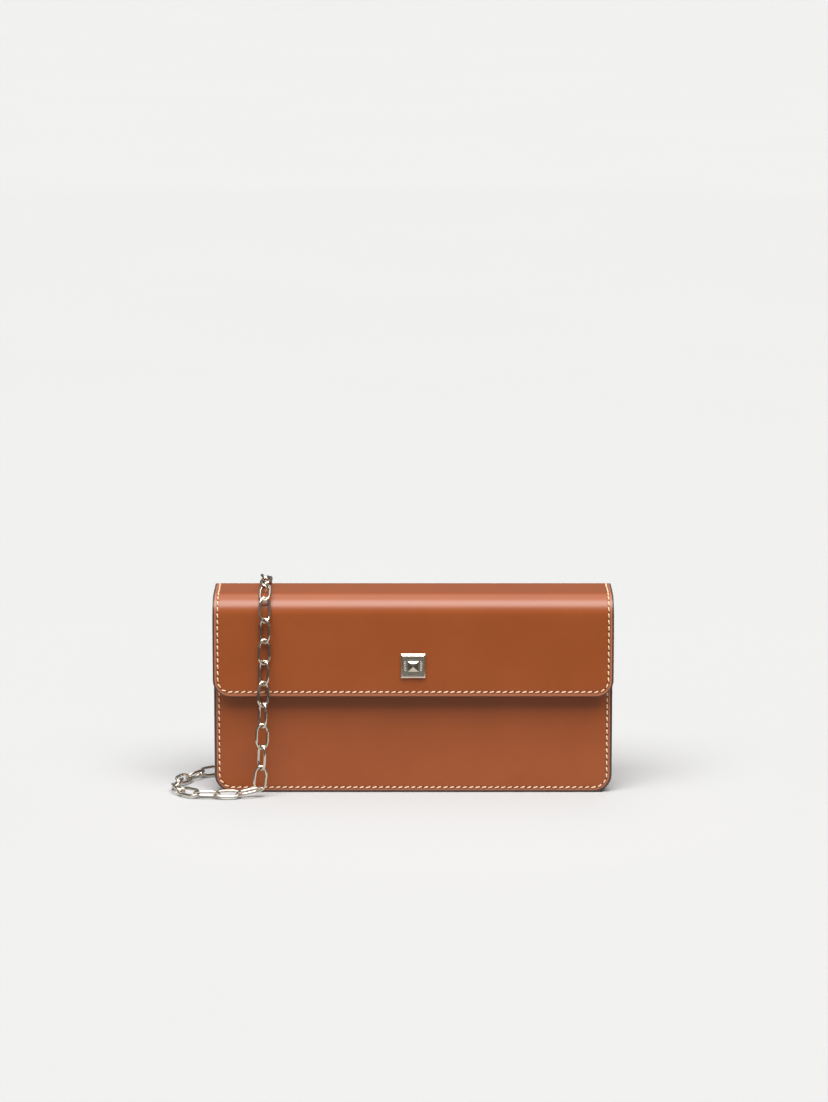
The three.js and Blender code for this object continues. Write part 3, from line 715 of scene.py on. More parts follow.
BACK_CENTRE = (BACK_Y - BACK_FOLD, HEIGHT - BACK_FOLD)
FRONT_CENTRE = (FLAP_Y + FRONT_FOLD, HEIGHT - FRONT_FOLD)
OVER_ROUTE = np.array(
    [
        LEFT_PIN,
        *round_fold(-74.6, BACK_CENTRE, BACK_FOLD + 3.6, (15, 35, 55, 75)),
        (-74.2, 8.5, 105.4),
        (-74, 1, 104.8),
        (-74, -7, 104.9),
        *round_fold(-74, FRONT_CENTRE, FRONT_FOLD + 3.35, (90, 110, 130, 150, 170)),
        (-74.1, -26.9, 84),
        (-74.3, -26.5, 76),
        (-74.6, -26.5, 64),
        (-75, -26.9, 52),
        (-75.2, -27.6, 44),
        (-75.7, -27.9, 26),
        (-76.2, -28.1, 10),
        (-77.3, -28.6, 4.2),
    ]
)
FLOOR_ROUTE = np.array(
    [
        (-77.3, -28.6, 4.2),
        (-81.5, -29.4, 2.7),
        (-90, -31, 2.6),
        (-103, -31.6, 2.6),
        (-113, -28.5, 2.6),
        (-118.4, -20, 2.6),
        (-119.7, -9, 2.6),
        (-116.5, 3, 2.6),
        (-109.5, 13.5, 2.6),
        (-102, 21, 2.6),
        (-92, 25.2, 2.6),
        (-78, 27.8, 3.2),
        (-64, HANK_Y - HANK_RADIUS, HANK_FIRST),
    ]
)
RISE_ROUTE = np.array(
    [
        (64, HANK_Y - HANK_RADIUS, HANK_FIRST + 2 * HANK_LEVEL),
        (69.5, 26.2, 19.4),
        (73.2, 23, 24.5),
        (74.8, 20.9, 33),
        (75, RING_Y, 45),
        RIGHT_PIN,
    ]
)


def hank_route():
    """Two turns and one more run of a flat winding: straight runs joined by half circles.
    Each turn lies flat, then climbs one layer over its last third."""
    run, bend = HANK_RUN, np.pi * HANK_RADIUS
    turn = 2 * (run + bend)
    s = np.linspace(0, HANK_TURNS * turn + run, 900)
    f = np.mod(s, turn)
    right = np.clip((f - run) / HANK_RADIUS, 0, np.pi)
    left = np.clip((f - 2 * run - bend) / HANK_RADIUS, 0, np.pi)
    forth, home = np.minimum(f, run), np.clip(f - run - bend, 0, run)
    x = -run / 2 + forth - home + HANK_RADIUS * (np.sin(right) - np.sin(left))
    y = HANK_Y - HANK_RADIUS * np.cos(right) + HANK_RADIUS * (np.cos(left) - 1)
    climb = np.clip((f / turn - CLIMB_FROM) / CLIMB_SHARE, 0, 1)
    layer = np.minimum(np.floor(s / turn) + climb * climb * (3 - 2 * climb), HANK_TURNS)
    return np.stack([x, y, HANK_FIRST + HANK_LEVEL * layer], -1)


def chain_line():
    """The whole line of the chain in even short steps."""
    over, floor_run, rise = (smooth_route(r) for r in (OVER_ROUTE, FLOOR_ROUTE, RISE_ROUTE))
    return resample(np.vstack([over, floor_run[1:], hank_route(), rise]), 0.4)


BACK_AXIS_Y, FRONT_AXIS_Y, AXIS_Z = 8.0, -14.0, 94.0  # what the chain over the top faces away from
AXES_MEET_Y = -2.0  # behind this the chain faces away from the back one
TOP_Z = 60.0  # over this height the chain faces away from those axes
BEHIND_Y = 12.0  # the chain behind the wallet
LAID_Z, HUNG_Z = 4.0, 12.0  # the chain in front lies flat under the first and hangs over the second
RISE_Z, RISEN_Z = 19.0, 29.0  # the chain behind lies flat under the first and hangs over the second


def outward_of(line):
    """The direction away from what the chain lies on: off the folds' middles over the top, then up from
    the floor, and back from the wallet where it rises to its ring."""
    y, z = line[:, 1], line[:, 2]
    axis_y = np.where(y > AXES_MEET_Y, BACK_AXIS_Y, FRONT_AXIS_Y)
    from_axis = np.stack([0 * y, y - axis_y, np.maximum(z - AXIS_Z, 0.01)], -1)
    from_axis = np.where((z > TOP_Z)[:, None], unit(from_axis), [[0, -1, 0]])
    up = np.array([0.0, 0.0, 1.0])
    low = np.clip((HUNG_Z - z) / (HUNG_Z - LAID_Z), 0, 1)[:, None]
    front = unit(from_axis * (1 - low) + up * low)
    rising = np.clip((z - RISE_Z) / (RISEN_Z - RISE_Z), 0, 1)[:, None]
    back = unit(up * (1 - rising) + np.array([0.0, 1.0, 0.0]) * rising)
    return np.where((y > BEHIND_Y)[:, None] & (z < TOP_Z)[:, None], back, front)


LINE = chain_line()
RUN = lengths(LINE)
LINKS = int(round(RUN[-1] / LINK_PITCH))
PIN_RUN = np.linspace(0, RUN[-1], LINKS + 1)
PINS = points_at(LINE, PIN_RUN)


def link_outline():
    """A link's outline: two straight sides that taper to two short ends, cut into even steps,
    and its corners rounded by an average of three neighbours."""
    side, end = (LINK_HALF_WIDTH, LINK_SIDE), (LINK_END, LINK_HALF_LENGTH)
    corners = np.array([(side[0], -side[1]), side, end, (-end[0], end[1])])
    corners = np.vstack([corners, -corners, corners[:1]])
    even = points_at(corners, np.linspace(0, lengths(corners)[-1], 28, endpoint=False))
    x, y = ((np.roll(even, 1, 0) + 2 * even + np.roll(even, -1, 0)) / 4).T
    return np.stack([x, y, 0 * x], -1)


LINK_TURN = 30.0  # degrees that each link is turned, one way and the other by turns
TAIL_TURN = -30.0  # degrees more, for the links that hang in front
LINK_SWAY, LINK_PLAY = 8.0, 4.0  # a slow change of that turn along the chain, and a random one, in degrees
SWAY_STEP = 0.7  # radians of the slow change from one link to the next


def link_loops(first, last):
    """Links first to last of the chain. A link is a round wire on its outline. It lies between two pins,
    and is turned by 60 degrees from the one before it about the chain's line."""
    a, b = PINS[first:last], PINS[first + 1 : last + 1]
    along = unit(b - a)
    middle = (a + b) / 2
    middle_run = (PIN_RUN[first:last] + PIN_RUN[first + 1 : last + 1]) / 2
    nearest = np.interp(middle_run, RUN, np.arange(len(RUN)))
    outward = outward_of(LINE)[nearest.astype(int)]
    outward = unit(outward - along * (outward * along).sum(1, keepdims=True))
    number = np.arange(first, last)
    play = np.random.default_rng(71).normal(0, LINK_PLAY, LINKS)[number]
    faces_front = np.abs(outward[:, 1] + 1) < 0.1
    hangs = faces_front & (middle[:, 2] < FLAP_LOW + 1.5)
    base = np.where(hangs, TAIL_TURN, 0.0) + LINK_SWAY * np.sin(number * SWAY_STEP) + play
    turn = np.radians(base + np.where(number % 2, LINK_TURN, -LINK_TURN))[:, None]
    side = np.cross(along, outward)
    wide = side * np.cos(turn) + outward * np.sin(turn)
    normal = np.cross(along, wide)
    ring = wire(link_outline(), LINK_WIRE, (0, 0, 1), sides=8)
    axes = np.stack([wide, along, normal], 1)
    return middle[:, None, None] + np.einsum("uvk,nkc->nuvc", ring, axes)


def power(value, exponent):
    """A power that keeps its sign."""
    return np.sign(value) * np.abs(value) ** exponent


def first_link(test):
    """The number of the first link whose middle passes a test."""
    middles = (PINS[1:] + PINS[:-1]) / 2
    return int(np.argmax(test(middles)))


IN_FRONT_Y = -20.0  # the chain in front of the flap
AT_TOP = first_link(lambda m: m[:, 1] < BACK_Y - 6)
AT_FLAP_EDGE = first_link(lambda m: (m[:, 1] < IN_FRONT_Y) & (m[:, 2] < FLAP_LOW + 0.5))
AT_TAIL = AT_FLAP_EDGE + 1
AT_FLOOR = first_link(lambda m: (m[:, 1] < IN_FRONT_Y) & (m[:, 2] < HUNG_Z))


def chain_piece(name, first, last, on, *replaced):
    return add_piece(name, [copies(link_loops(first, last))], NICKEL, on, *replaced, weld=False, sharp=80)


def add_chain():
    """The chain in five pieces: over the back fold, over the flap, the link that bends at the flap's edge,
    the hanging tail, and the rest on the floor and in the hank."""
    bridge = chain_piece("chain_over_back_fold", 0, AT_TOP, OVER_BACK)
    draped = ("chain_over_top", "chain_down_flap")
    over = chain_piece("chain_links_over_flap", AT_TOP, AT_FLAP_EDGE, OVER_FRONT, *draped)
    bend = chain_piece("chain_link_at_flap_edge", AT_FLAP_EDGE, AT_TAIL, "chain_bend", "chain_bend")
    tail = chain_piece("chain_links_hanging", AT_TAIL, AT_FLOOR, "chain_tail", "chain_tail")
    laid = ("chain_floor_run", "chain_hank", "chain_rise")
    rest = chain_piece("chain_links_on_floor", AT_FLOOR, LINKS, "wallet_body", *laid)


add_chain()


# ---- Folded sheet: back, top and flap ---------------------------------------------------------
def half_path_sides(fold_radius, end, corner):
    """Steps down a half of the folded sheet: coarse on the flat, fine round the fold."""
    flat, arc = TOP_FLAT / 2, fold_radius * np.pi / 2
    return steps((0, 0), (flat, 4), (flat + arc, 16), (end - corner, int((end - corner - flat - arc) / 3)))


def add_shells():
    """The outer leather in two sheets that meet on the flat top, and their stitches."""
    back_long, flap_long = MEET, PATH_END - MEET
    back = Outline(WIDTH, back_long, BODY_CORNER, half_path_sides(BACK_FOLD, back_long, BODY_CORNER))
    flap = Outline(WIDTH, flap_long, FLAP_CORNER, half_path_sides(FRONT_FOLD, flap_long, FLAP_CORNER))
    sheet = sheet_patches(back, on_back, LEATHER, GROOVE)
    add_piece("back_leather", sheet, CALF, OVER_BACK, "back_panel")
    sheet = sheet_patches(flap, on_flap, LEATHER, GROOVE)
    add_piece("flap_leather", sheet, CALF, OVER_FRONT, "flap_top_panel", "flap_front_panel")
    add_stitches("back_stitches", seam_spots(back), on_back, OVER_BACK, seed=11)
    add_stitches("flap_stitches", seam_spots(flap), on_flap, OVER_FRONT, seed=12)


LINING_INSET = 1.0  # how far the lining lies in from the leather's edge
TOP_LINING_CORNER = 2.0
TOP_LINING_LOW = WALL_TOP + 1.5  # its edge inside the back


def add_flap_linings():
    """The lining under the top and the flap, in two sheets as the leather."""
    back_long, flap_long = MEET - TOP_LINING_LOW, PATH_END - MEET - LINING_INSET
    wide, corner = WIDTH - 2 * LINING_INSET, FLAP_CORNER - LINING_INSET
    sides = steps((0, 0), (TOP_FLAT / 2, 4), (back_long - TOP_LINING_CORNER, 14))
    back = Outline(wide, back_long, TOP_LINING_CORNER, sides)
    flap = Outline(wide, flap_long, corner, half_path_sides(FRONT_FOLD, flap_long, corner))
    sheet = sheet_patches(back, sunk(on_back, LINING_DEPTH), LINING)
    add_piece("top_lining", sheet, SUEDE, OVER_BACK, "flap_top_lining")
    sheet = sheet_patches(flap, sunk(on_flap, LINING_DEPTH), LINING)
    add_piece("flap_lining", sheet, SUEDE, OVER_FRONT, "flap_front_lining")


# ---- Body -------------------------------------------------------------------------------------
SEAM_SKIP = 4.0  # how far under the front panel's top edge its row of stitches starts
FRONT_RIM_SHADE = 1.6  # how wide the dark rim is along the front panel's base: edge paint, widened into painted shade where the panel meets the floor
LINING_CLEAR = SEAM_FLANGE + GAP + 0.1  # the inner linings end inside the gusset's flanges
GUSSET_WALL, GUSSET_FLANGE = 1.2, 1.1  # thickness of the strip and of its sewn flanges
GUSSET_LINING = 0.7
GUSSET_CREASE, CREASE_HALF = 2.6, 14.0  # how far the strip creases in, at most, and how far to each side
GUSSET_LINING_DROP = 2.0  # how far its lining ends under its top
DROP_FROM = 60.0  # over this height the lining is drawn down by more and more
GUSSET_POINTS = 25  # across the strip


def body_outline(inset=0.0):
    return Outline(WIDTH - 2 * inset, WALL_TOP - inset, BODY_CORNER - inset)


def add_body_walls():
    """The front panel with its stitches, and the linings of the front and the back."""
    front = body_outline()
    place = upright(FRONT_Y, WALL_TOP)
    sheet = sheet_patches(front, place, LEATHER, GROOVE, rounded=True, skip=SEAM_SKIP, painted=FRONT_RIM_SHADE)
    add_piece("front_leather", sheet, CALF, "wallet_body", "front_panel")
    add_stitches("front_stitches", seam_spots(front, SEAM_SKIP), place, "wallet_body", seed=13)
    for name, y, node in (
        ("front_inner_lining", FRONT_Y + LINING_DEPTH, "front_lining"),
        ("back_inner_lining", BACK_Y - LINING_DEPTH - LINING, "back_lining"),
    ):
        sheet = sheet_patches(body_outline(LINING_CLEAR), upright(y, WALL_TOP), LINING, rounded=True)
        add_piece(name, sheet, SUEDE, "wallet_body", node)


def gusset_points(section_y, section_d):
    """A closed section, as places across the strip and depths under its outer face, carried round the
    body's U. The strip creases inwards along its middle, most half way down the sides and not at all
    along the base."""
    outline = body_outline()
    side = np.abs(outline.nx)[:, None] ** 2
    down = np.clip(outline.t[:, None] / (outline.length - outline.corner), 0, 1)
    fade = np.sin(down * np.pi / 2 + 0.55) ** 2
    fold = np.clip(1 - np.abs(section_y) / CREASE_HALF, 0, 1) ** 1.4
    out = outline.corner - section_d - GUSSET_CREASE * side * fade * fold
    x = outline.x[:, None] + outline.nx[:, None] * out
    z = WALL_TOP - (outline.t[:, None] + outline.nt[:, None] * out)
    return np.stack(np.broadcast_arrays(x, section_y, z), -1)


def add_gusset():
    """The strip between the front and the back with its two sewn flanges, and its lining."""
    edge, far = BACK_Y - LEATHER - GAP, SEAM_FLANGE
    across = np.linspace(edge - 0.5, 0.5 - edge, GUSSET_POINTS)
    inner = np.linspace(GUSSET_FLANGE - edge, edge - GUSSET_FLANGE, GUSSET_POINTS)
    section_y = [edge, edge, edge - 0.15, *across, 0.15 - edge, -edge, -edge, inner[0], *inner, inner[-1]]
    wall = np.full(GUSSET_POINTS, GUSSET_WALL)
    section_d = [far, 0.5, 0.15, *(0 * across), 0.15, 0.5, far, far, *wall, far]
    points = gusset_points(np.array(section_y), np.array(section_d))
    strip = [closed_tube(points, inset=INNER, along=NO_HOLES)]
    add_piece("gusset_leather", strip, CALF, "wallet_body", "gusset")
    half, near = edge - GUSSET_FLANGE - GAP, GUSSET_WALL + GAP
    y = np.linspace(-half, half, GUSSET_POINTS)
    depths = np.repeat([near, near + GUSSET_LINING], GUSSET_POINTS)
    points = gusset_points(np.concatenate([y, y[::-1]]), depths)
    high = np.clip((points[..., 2] - DROP_FROM) / (WALL_TOP - DROP_FROM), 0, 1)
    points[..., 2] -= GUSSET_LINING_DROP * high
    strip = [closed_tube(points, inset=INNER, along=NO_HOLES)]
    add_piece("gusset_inner_lining", strip, SUEDE, "wallet_body", "gusset_lining")


# ---- Inside -----------------------------------------------------------------------------------
INSIDE_LOW = 6.6
POCKET_CORNER = 4.5
NOTE_Y, NOTE_THICK, NOTE_WIDE, NOTE_TOP = -13.2, 0.8, 184.0, 80.0
CARD_THICK, CARD_WIDE = 0.7, 168.0
CARD_TOPS = (88.0, 78.0, 68.0, 58.0)
COIN_HALF, COIN_WALL, COIN_TOP, COIN_REACH = 2.9, 1.0, 76.0, 92.0  # half depth, wall, top and half width
TEETH_PITCH, TEETH_REACH, TEETH_Z = 1.75, 78.6, 76.6
TOOTH_HALF_X, TOOTH_HALF_Z = 0.4, 0.72
TOOTH_STEPS = np.array([(-0.45, 0.7), (-0.2, 1.0), (0.55, 0.85), (1.9, 1.0)])  # reach back, share of its size


def add_pockets():
    """The note pocket's wall and the four card panels, each a thin sheet with a rounded top edge."""
    panels = [("note_pocket_leather", NOTE_Y, NOTE_THICK, NOTE_WIDE, NOTE_TOP, "note_pocket_wall")]
    first_y = BACK_Y - LINING_DEPTH - LINING - GAP - CARD_THICK
    for i, top in enumerate(CARD_TOPS):
        name, node = f"card_pocket_{i + 1}", f"card_panel_{i + 1}"
        panels.append((name, first_y - i, CARD_THICK, CARD_WIDE, top, node))
    for name, y, thickness, wide, top, node in panels:
        outline = Outline(wide, top - INSIDE_LOW, POCKET_CORNER)
        sheet = sheet_patches(outline, upright(y, top), thickness, rounded=True)
        add_piece(name, sheet, SUEDE, "wallet_body", node)


def add_coin_pocket():
    """The coin pocket's bag: a U section carried across the wallet, its fold at the bottom a half circle."""
    a = np.linspace(0, -np.pi, 13)
    half, hole = COIN_HALF, COIN_HALF - COIN_WALL
    low = INSIDE_LOW + half
    ys = [half, *half * np.cos(a), -half, -hole, *hole * np.cos(a[::-1]), hole]
    zs = [COIN_TOP, *low + half * np.sin(a), COIN_TOP, COIN_TOP, *low + hole * np.sin(a[::-1]), COIN_TOP]
    x = np.linspace(-COIN_REACH, COIN_REACH, 62)[:, None]
    points = np.stack(np.broadcast_arrays(x, ys, zs), -1)
    bag = [closed_tube(points, inset=INNER, along=NO_HOLES)]
    add_piece("coin_pocket_leather", bag, SUEDE, "wallet_body", "coin_pocket_bag")


def add_zip_teeth():
    """Two rows of teeth that mesh: each tooth is a small block with a rounded top, set half a step
    from the other row's."""
    count = int(2 * TEETH_REACH / TEETH_PITCH)
    x0 = (np.arange(count) - (count - 1) / 2) * TEETH_PITCH
    u = np.linspace(0, 2 * np.pi, 8, endpoint=False) + np.pi / 8
    back, share = TOOTH_STEPS.T[:, :, None]
    x = power(np.cos(u), 0.5) * TOOTH_HALF_X * share
    z = TEETH_Z + power(np.sin(u), 0.5) * TOOTH_HALF_Z * share
    rows = []
    for side in (-1, 1):
        tooth = np.stack(np.broadcast_arrays(x, side * back, z), -1)
        shift = np.zeros((count, 1, 1, 3))
        shift[:, 0, 0, 0] = x0 + side * TEETH_PITCH / 4
        rows.append(copies(tooth[None] + shift, wrap_rows=False, caps=True))
    add_piece("zip_teeth_rows", rows, ZIP_METAL, "wallet_body", "zip_teeth", weld=False, sharp=35)


# ---- Hardware ---------------------------------------------------------------------------------
BAR_HALF, RING_CORNER = 5.3, 2.2  # of a D ring, to the middle of its wire
BOW_HALF, BOW_RISE = 7.5, 9.8
TAB_THICK, TAB_HALF = 1.0, 5.0
TAB_LOOP = 1.65  # inner radius of a tab's loop round the ring's bar
TAB_TOP = RING_Z + 9.2
TAB_STITCH = 1.9


def d_loop():
    """The D of a ring: a straight bar, two small corners and half an ellipse over them, in even steps."""
    a = np.linspace(-np.pi / 2, 0, 8)
    right = RING_CORNER * np.stack([np.cos(a), 1 + np.sin(a)], -1) + [BAR_HALF, 0]
    b = np.linspace(0, np.pi, 40)[1:-1]
    bow = np.stack([BOW_HALF * np.cos(b), RING_CORNER + BOW_RISE * np.sin(b)], -1)
    bar = np.stack([np.linspace(-BAR_HALF, BAR_HALF, 10)[1:-1], np.zeros(8)], -1)
    flat = np.concatenate([right, bow, right[::-1] * [-1, 1], bar])
    return np.stack([flat[:, 0], 0 * flat[:, 0], flat[:, 1]], -1)


def oval_loop(width, length):
    """A connecting link's outline in the plane of Y and Z: two straight sides and two half circles."""
    r, straight = width / 2, length / 2 - width / 2
    a = np.linspace(0, np.pi, 16)
    upper = np.stack([0 * a, r * np.cos(a), straight + r * np.sin(a)], -1)
    return np.concatenate([upper, -upper])


def add_rings():
    """Each D ring and its connecting link. The left pair stands up and the right pair hangs."""
    for side, up, name in ((-1, 1, "left"), (1, -1, "right")):
        bar = np.array([side * RING_X, RING_Y, RING_Z])
        middle = bar + [0, 0, up * (CONNECTOR_START + CONNECTOR_LENGTH / 2)]
        ring = wire(d_loop() * [1, up, up] + bar, RING_WIRE, (0, 1, 0))
        link = wire(oval_loop(CONNECTOR_WIDTH, CONNECTOR_LENGTH) + middle, CONNECTOR_WIRE, (1, 0, 0))
        for part, points, node in (("d_ring", ring, "ring"), ("connecting_link", link, "connector")):
            loop = [patch(points, wrap_rows=True, wrap_cols=True)]
            add_piece(f"{name}_{part}", loop, NICKEL, f"{name}_ring", f"{name}_{node}", sharp=80)


def strap_section(half_width, half_thick):
    """A strap's section: a flat oblong with half-round edges."""
    a = np.linspace(-np.pi / 2, np.pi / 2, 7)
    right = np.stack([half_width - half_thick + half_thick * np.cos(a), half_thick * np.sin(a)], -1)
    return np.concatenate([right, -right])


def tab_path():
    """The middle of a tab's strap, in Y and Z: down the back, round the ring's bar and up behind itself,
    cut into even steps and smoothed by an average of five neighbours."""
    near = BACK_Y + GAP + TAB_THICK / 2
    far = near + TAB_THICK + 0.02
    down = np.stack([np.full(6, near), np.linspace(TAB_TOP, RING_Z + 3.2, 6)], -1)
    a = np.radians(np.linspace(205, 460, 26))
    radius = TAB_LOOP + TAB_THICK / 2
    loop = np.stack([RING_Y + radius * np.cos(a), RING_Z + radius * np.sin(a)], -1)
    back = np.stack([np.full(5, far), np.linspace(RING_Z + 4.4, TAB_TOP, 5)], -1)
    turn_in, turn_out = [[near + 0.05, RING_Z + 1.4]], [[far + 0.35, RING_Z + 3.1]]
    path = np.concatenate([down, turn_in, loop, turn_out, back])
    path = points_at(path, np.linspace(0, lengths(path)[-1], 64))
    for column in (0, 1):
        path[2:-2, column] = np.convolve(path[:, column], np.ones(5) / 5, "valid")
    return path


def add_ring_tabs():
    """Each ring's tab: a strap that comes down the back, goes round the ring's bar and comes up again."""
    path = tab_path()
    ahead = unit(np.gradient(path, axis=0))
    section = strap_section(TAB_HALF, TAB_THICK / 2)
    wide, thick = section.T
    from_edge = TAB_HALF - np.abs(wide[None])
    y = path[:, :1] - ahead[:, 1:] * thick
    z = path[:, 1:] + ahead[:, :1] * thick
    place = upright(BACK_Y + GAP + 2 * TAB_THICK, 0.0, facing=1)
    for x, name in ((-RING_X, "left"), (RING_X, "right")):
        points = np.stack(np.broadcast_arrays(x + wide, y, z), -1)
        strap = [closed_tube(points, inset=from_edge, along=NO_HOLES)]
        add_piece(f"{name}_tab_leather", strap, CALF, "wallet_body", f"{name}_ring_tab")
        name = f"{name}_tab_stitches"
        add_stitches(name, tab_spots(x), place, "wallet_body", seed=17, long=TAB_STITCH)


def tab_spots(x):
    """Stitches of a tab: an upper and a lower row of three."""
    across = x + np.array([-2.6, 0, 2.6, -2.6, 0, 2.6])
    heights = -np.array([RING_Z + 7.9] * 3 + [RING_Z + 5.3] * 3)
    return across, heights, np.ones(6), np.zeros(6)


# The stud's plate and its pyramid, from the back to the front: distance in from the plate's edge or out
# from the pyramid's middle, and height over the flap.
PLATE_STEPS = (
    (0.5, 0.3),
    (0.02, 0.32),
    (0.0, 0.42),
    (0.06, 0.55),
    (0.95, 1.52),
    (1.03, 1.56),
    (1.3, 1.56),
    (STUD_SIDE / 2 - 0.05, 1.56),
)
PLATE_BEVEL = 5  # how many of its steps belong to its sides and its bevel
PYRAMID_STEPS = ((2.65, 1.5), (2.65, 1.82), (2.57, 1.9), (0.12, 2.86), (0.03, 2.88))
TICK_OUT, TICK_SPREAD, TICKS_A_SIDE = 4.0, 2.2, 6
TICK_LONG, TICK_SHORT = 0.55, 0.2  # half a tick's length and width
TICK_STEPS = ((1.5, 1.0), (1.62, 0.95), (1.68, 0.7))  # height over the flap, share of its size


def square_rings(steps_out, corner):
    """Square loops with rounded corners, one inside the other, each at its own height over the flap."""
    a = np.linspace(0, np.pi / 2, 4)
    rows = []
    for half, height in steps_out:
        r = min(corner, half * 0.4)
        quarter = np.stack([half - r + r * np.cos(a), half - r + r * np.sin(a)], -1)
        turns = [quarter, quarter[::-1] * [-1, 1], -quarter, quarter[::-1] * [1, -1]]
        x, z = np.concatenate(turns).T
        rows.append(np.stack([x, np.full(len(x), FLAP_Y - height), STUD_Z + z], -1))
    return np.stack(rows)


def tick_points():
    """A short raised tick with a rounded outline at each of its places, in four rows round the pyramid."""
    u = np.linspace(0, 2 * np.pi, 12, endpoint=False)
    round_x, round_z = power(np.cos(u), 0.6), power(np.sin(u), 0.6)
    lift, size = np.array(TICK_STEPS).T[:, :, None]
    points = []
    for k in np.linspace(-TICK_SPREAD, TICK_SPREAD, TICKS_A_SIDE):
        for x, z in ((TICK_OUT, k), (-TICK_OUT, k), (k, TICK_OUT), (k, -TICK_OUT)):
            wide, high = (TICK_LONG, TICK_SHORT) if z == k else (TICK_SHORT, TICK_LONG)
            tick = (x + wide * size * round_x, FLAP_Y - lift, STUD_Z + z + high * size * round_z)
            points.append(np.stack(np.broadcast_arrays(*tick), -1))
    return np.stack(points)


def add_stud():
    """The stud on the flap: a bevelled square plate with a pyramid in the middle and ticks round it."""
    rows = square_rings([(STUD_SIDE / 2 - inset, height) for inset, height in PLATE_STEPS], 0.3)
    bevel = (np.arange(len(PLATE_STEPS)) < PLATE_BEVEL)[:, None] * 1.0
    plate = [closed_tube(rows, bevel=bevel)]
    add_piece("stud_square_plate", plate, BRUSHED, "flap_front", "stud_plate", sharp=24)
    pyramid = [closed_tube(square_rings(PYRAMID_STEPS, 0.1))]
    add_piece("stud_point", pyramid, NICKEL, "flap_front", "stud_pyramid", sharp=24)
    ticks = [copies(tick_points(), wrap_rows=False, caps=True)]
    add_piece("stud_ticks", ticks, NICKEL, "flap_front", weld=False)


TIE_LOW, TIE_HIGH = 0.55, 22.1  # middle of the band under and over the hank
TIE_HALF_DEPTH = HANK_RADIUS + 4.4
TIE_HALF_WIDE, TIE_HALF_THICK = 3.0, 0.42


def add_hank_tie():
    """The band round the hank: a flat strap on a rounded oblong."""
    u = np.linspace(0, 2 * np.pi, 72, endpoint=False)
    y = HANK_Y + TIE_HALF_DEPTH * power(np.cos(u), 0.42)
    z = (TIE_LOW + TIE_HIGH) / 2 + (TIE_HIGH - TIE_LOW) / 2 * power(np.sin(u), 0.42)
    loop = np.stack([0 * u, y, z], -1)
    across = np.array([1.0, 0, 0])
    out = np.cross(unit(np.roll(loop, -1, 0) - np.roll(loop, 1, 0)), across)
    section = strap_section(TIE_HALF_WIDE, TIE_HALF_THICK)[None, :, :, None]
    points = loop[:, None] + section[:, :, 0] * across + section[:, :, 1] * out[:, None]
    band = [patch(points, wrap_rows=True, wrap_cols=True)]
    add_piece("hank_band", band, TIE, "wallet_body", "hank_tie", sharp=60)


add_shells()
add_flap_linings()
add_body_walls()
add_gusset()
add_pockets()
add_coin_pocket()
add_zip_teeth()
add_rings()
add_ring_tabs()
add_stud()
add_hank_tie()

# ---- Finishes of the nodes that stay ----------------------------------------------------------
FINISH = {
    SUEDE: ("coin_pocket_seam_left", "coin_pocket_seam_right"),
    ZIP_METAL: ("zip_stop_left", "zip_stop_right", "zip_slider", "zip_pull"),
    TAPE: ("zip_tape_front", "zip_tape_back"),
    BRUSHED: ("snap_socket", "snap_washer", "snap_boss"),
}
for finish, nodes in FINISH.items():
    for node in nodes:
        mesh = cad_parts[node].data
        mesh.materials.clear()
        mesh.materials.append(finish)

# ---- Room and light ---------------------------------------------------------------------------
FLOOR_TONE = 0.4
ROOM_LEVEL = 0.2
BOX_LEVEL = 10.0
TOP_BOX_LEVEL = 2.4
FRONT_BOX = (36, 49, 72, 86)  # degrees up and over from the front: the box starts, is full, fades, ends
FRONT_BOX_SIDE = (0.7, 0.35)  # how far a direction points to the side where the box ends and is full
TOP_BOX = (64, 84, 112, 145)
TOP_BOX_SIDE = (0.32, 0.14)
FLAG_NEAR, FLAG_FAR = 190.0, 3000.0  # the dark board's inner and outer radius
FLOOR_REACH = 14000.0


def add_floor():
    """A wide pale floor."""
    across = np.array([[-FLOOR_REACH, FLOOR_REACH]] * 2)
    corners = np.stack([across, across.T, np.full((2, 2), -0.02)], -1)
    made, w, shader = new_material("pale_floor", Roughness=0.9, Specular_IOR_Level=0.1)
    cloud = w.noise(w.place(), 3.0, 2.0)
    dark, light = ((FLOOR_TONE * share,) * 3 + (1.0,) for share in (0.99, 1.01))
    w.feed(shader, Base_Color=w.mix(cloud, dark, light))
    make_piece("floor", [patch(corners)], made)


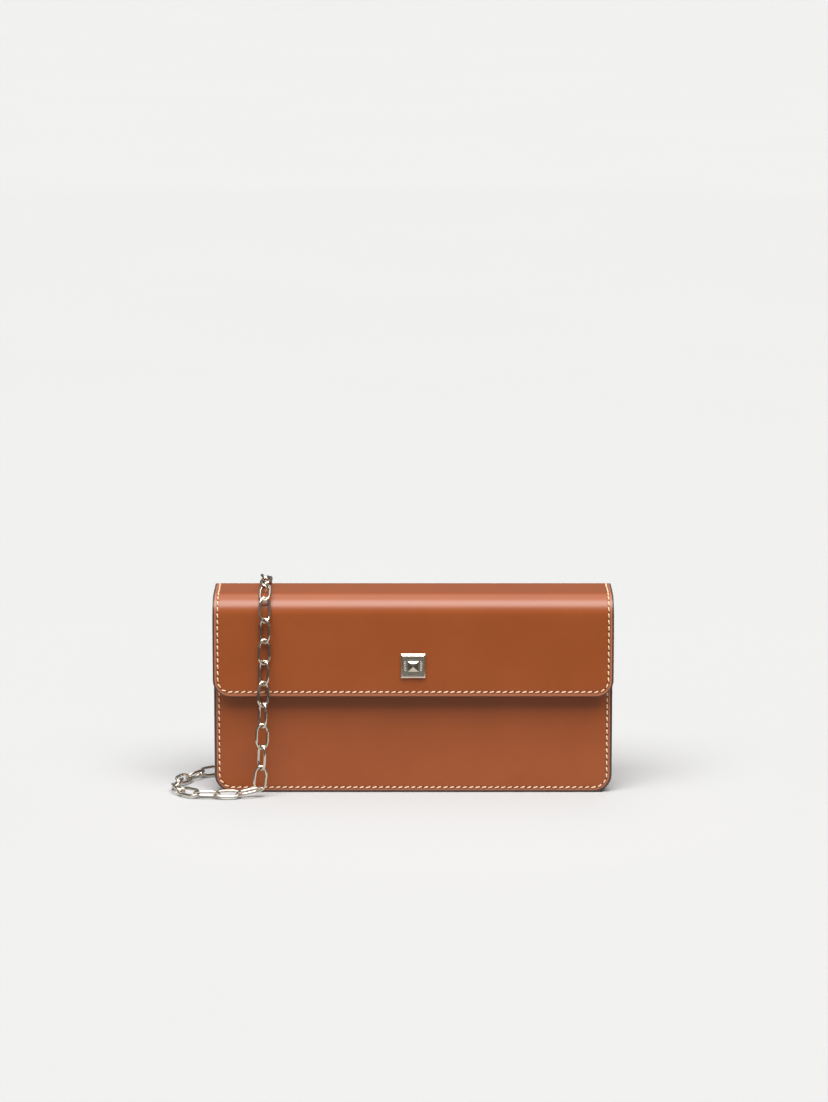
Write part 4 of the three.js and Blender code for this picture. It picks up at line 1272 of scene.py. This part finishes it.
def add_flags():
    """A ring of dark board on the floor round the set. Only reflections see it: it keeps the far floor
    out of the polished metal, as the dark end of a studio does."""
    turn = np.linspace(0, 2 * np.pi, 64, endpoint=False)
    reach = np.array([FLAG_NEAR, FLAG_FAR])[:, None]
    points = np.stack([reach * np.cos(turn), reach * np.sin(turn), np.full((2, len(turn)), 1.0)], -1)
    matte = dict(Base_Color=(0.05, 0.045, 0.04, 1.0), Roughness=0.9, Specular_IOR_Level=0.0)
    made, _, _ = new_material("dark_board", **matte)
    ring = make_piece("dark_board_ring", [patch(points, wrap_cols=True)], made)
    for ray in ("camera", "diffuse", "transmission", "volume_scatter", "shadow"):
        setattr(ring, f"visible_{ray}", False)


def box_light(w, over, aside, rise_and_fall, sides):
    """How much of a softbox a direction sees: one inside it, with a smooth step at each edge."""
    low, low_full, high_full, high = np.radians(rise_and_fall)
    inside = w.math("MULTIPLY", w.step(over, low, low_full), w.step(over, high, high_full))
    return w.math("MULTIPLY", inside, w.step(aside, *sides))


def add_light():
    """A soft dim room with a large softbox in front of the wallet and over it, and a weaker narrow one
    right over it. Both are measured by how far a direction has turned up and over from the front, and
    by how far it points to the side."""
    world = bpy.data.worlds.new("studio")
    bpy.context.scene.world = world
    world.use_nodes = True
    w = Wiring(world.node_tree)
    ground = world.node_tree.nodes["Background"]
    part = w.node("SeparateXYZ", {"Vector": w.node("TexCoord").outputs["Generated"]}).outputs
    over = w.math("ARCTAN2", part["Z"], w.math("MULTIPLY", part["Y"], -1.0))
    aside = w.math("ABSOLUTE", part["X"])
    front = w.math("MULTIPLY", box_light(w, over, aside, FRONT_BOX, FRONT_BOX_SIDE), BOX_LEVEL)
    top = w.math("MULTIPLY", box_light(w, over, aside, TOP_BOX, TOP_BOX_SIDE), TOP_BOX_LEVEL)
    w.feed(ground, Strength=w.math("ADD", w.math("ADD", front, top), ROOM_LEVEL))
    ground.inputs["Color"].default_value = (1.0, 0.997, 0.99, 1.0)


add_floor()
add_flags()
add_light()
bpy.context.scene.view_settings.view_transform = "Standard"
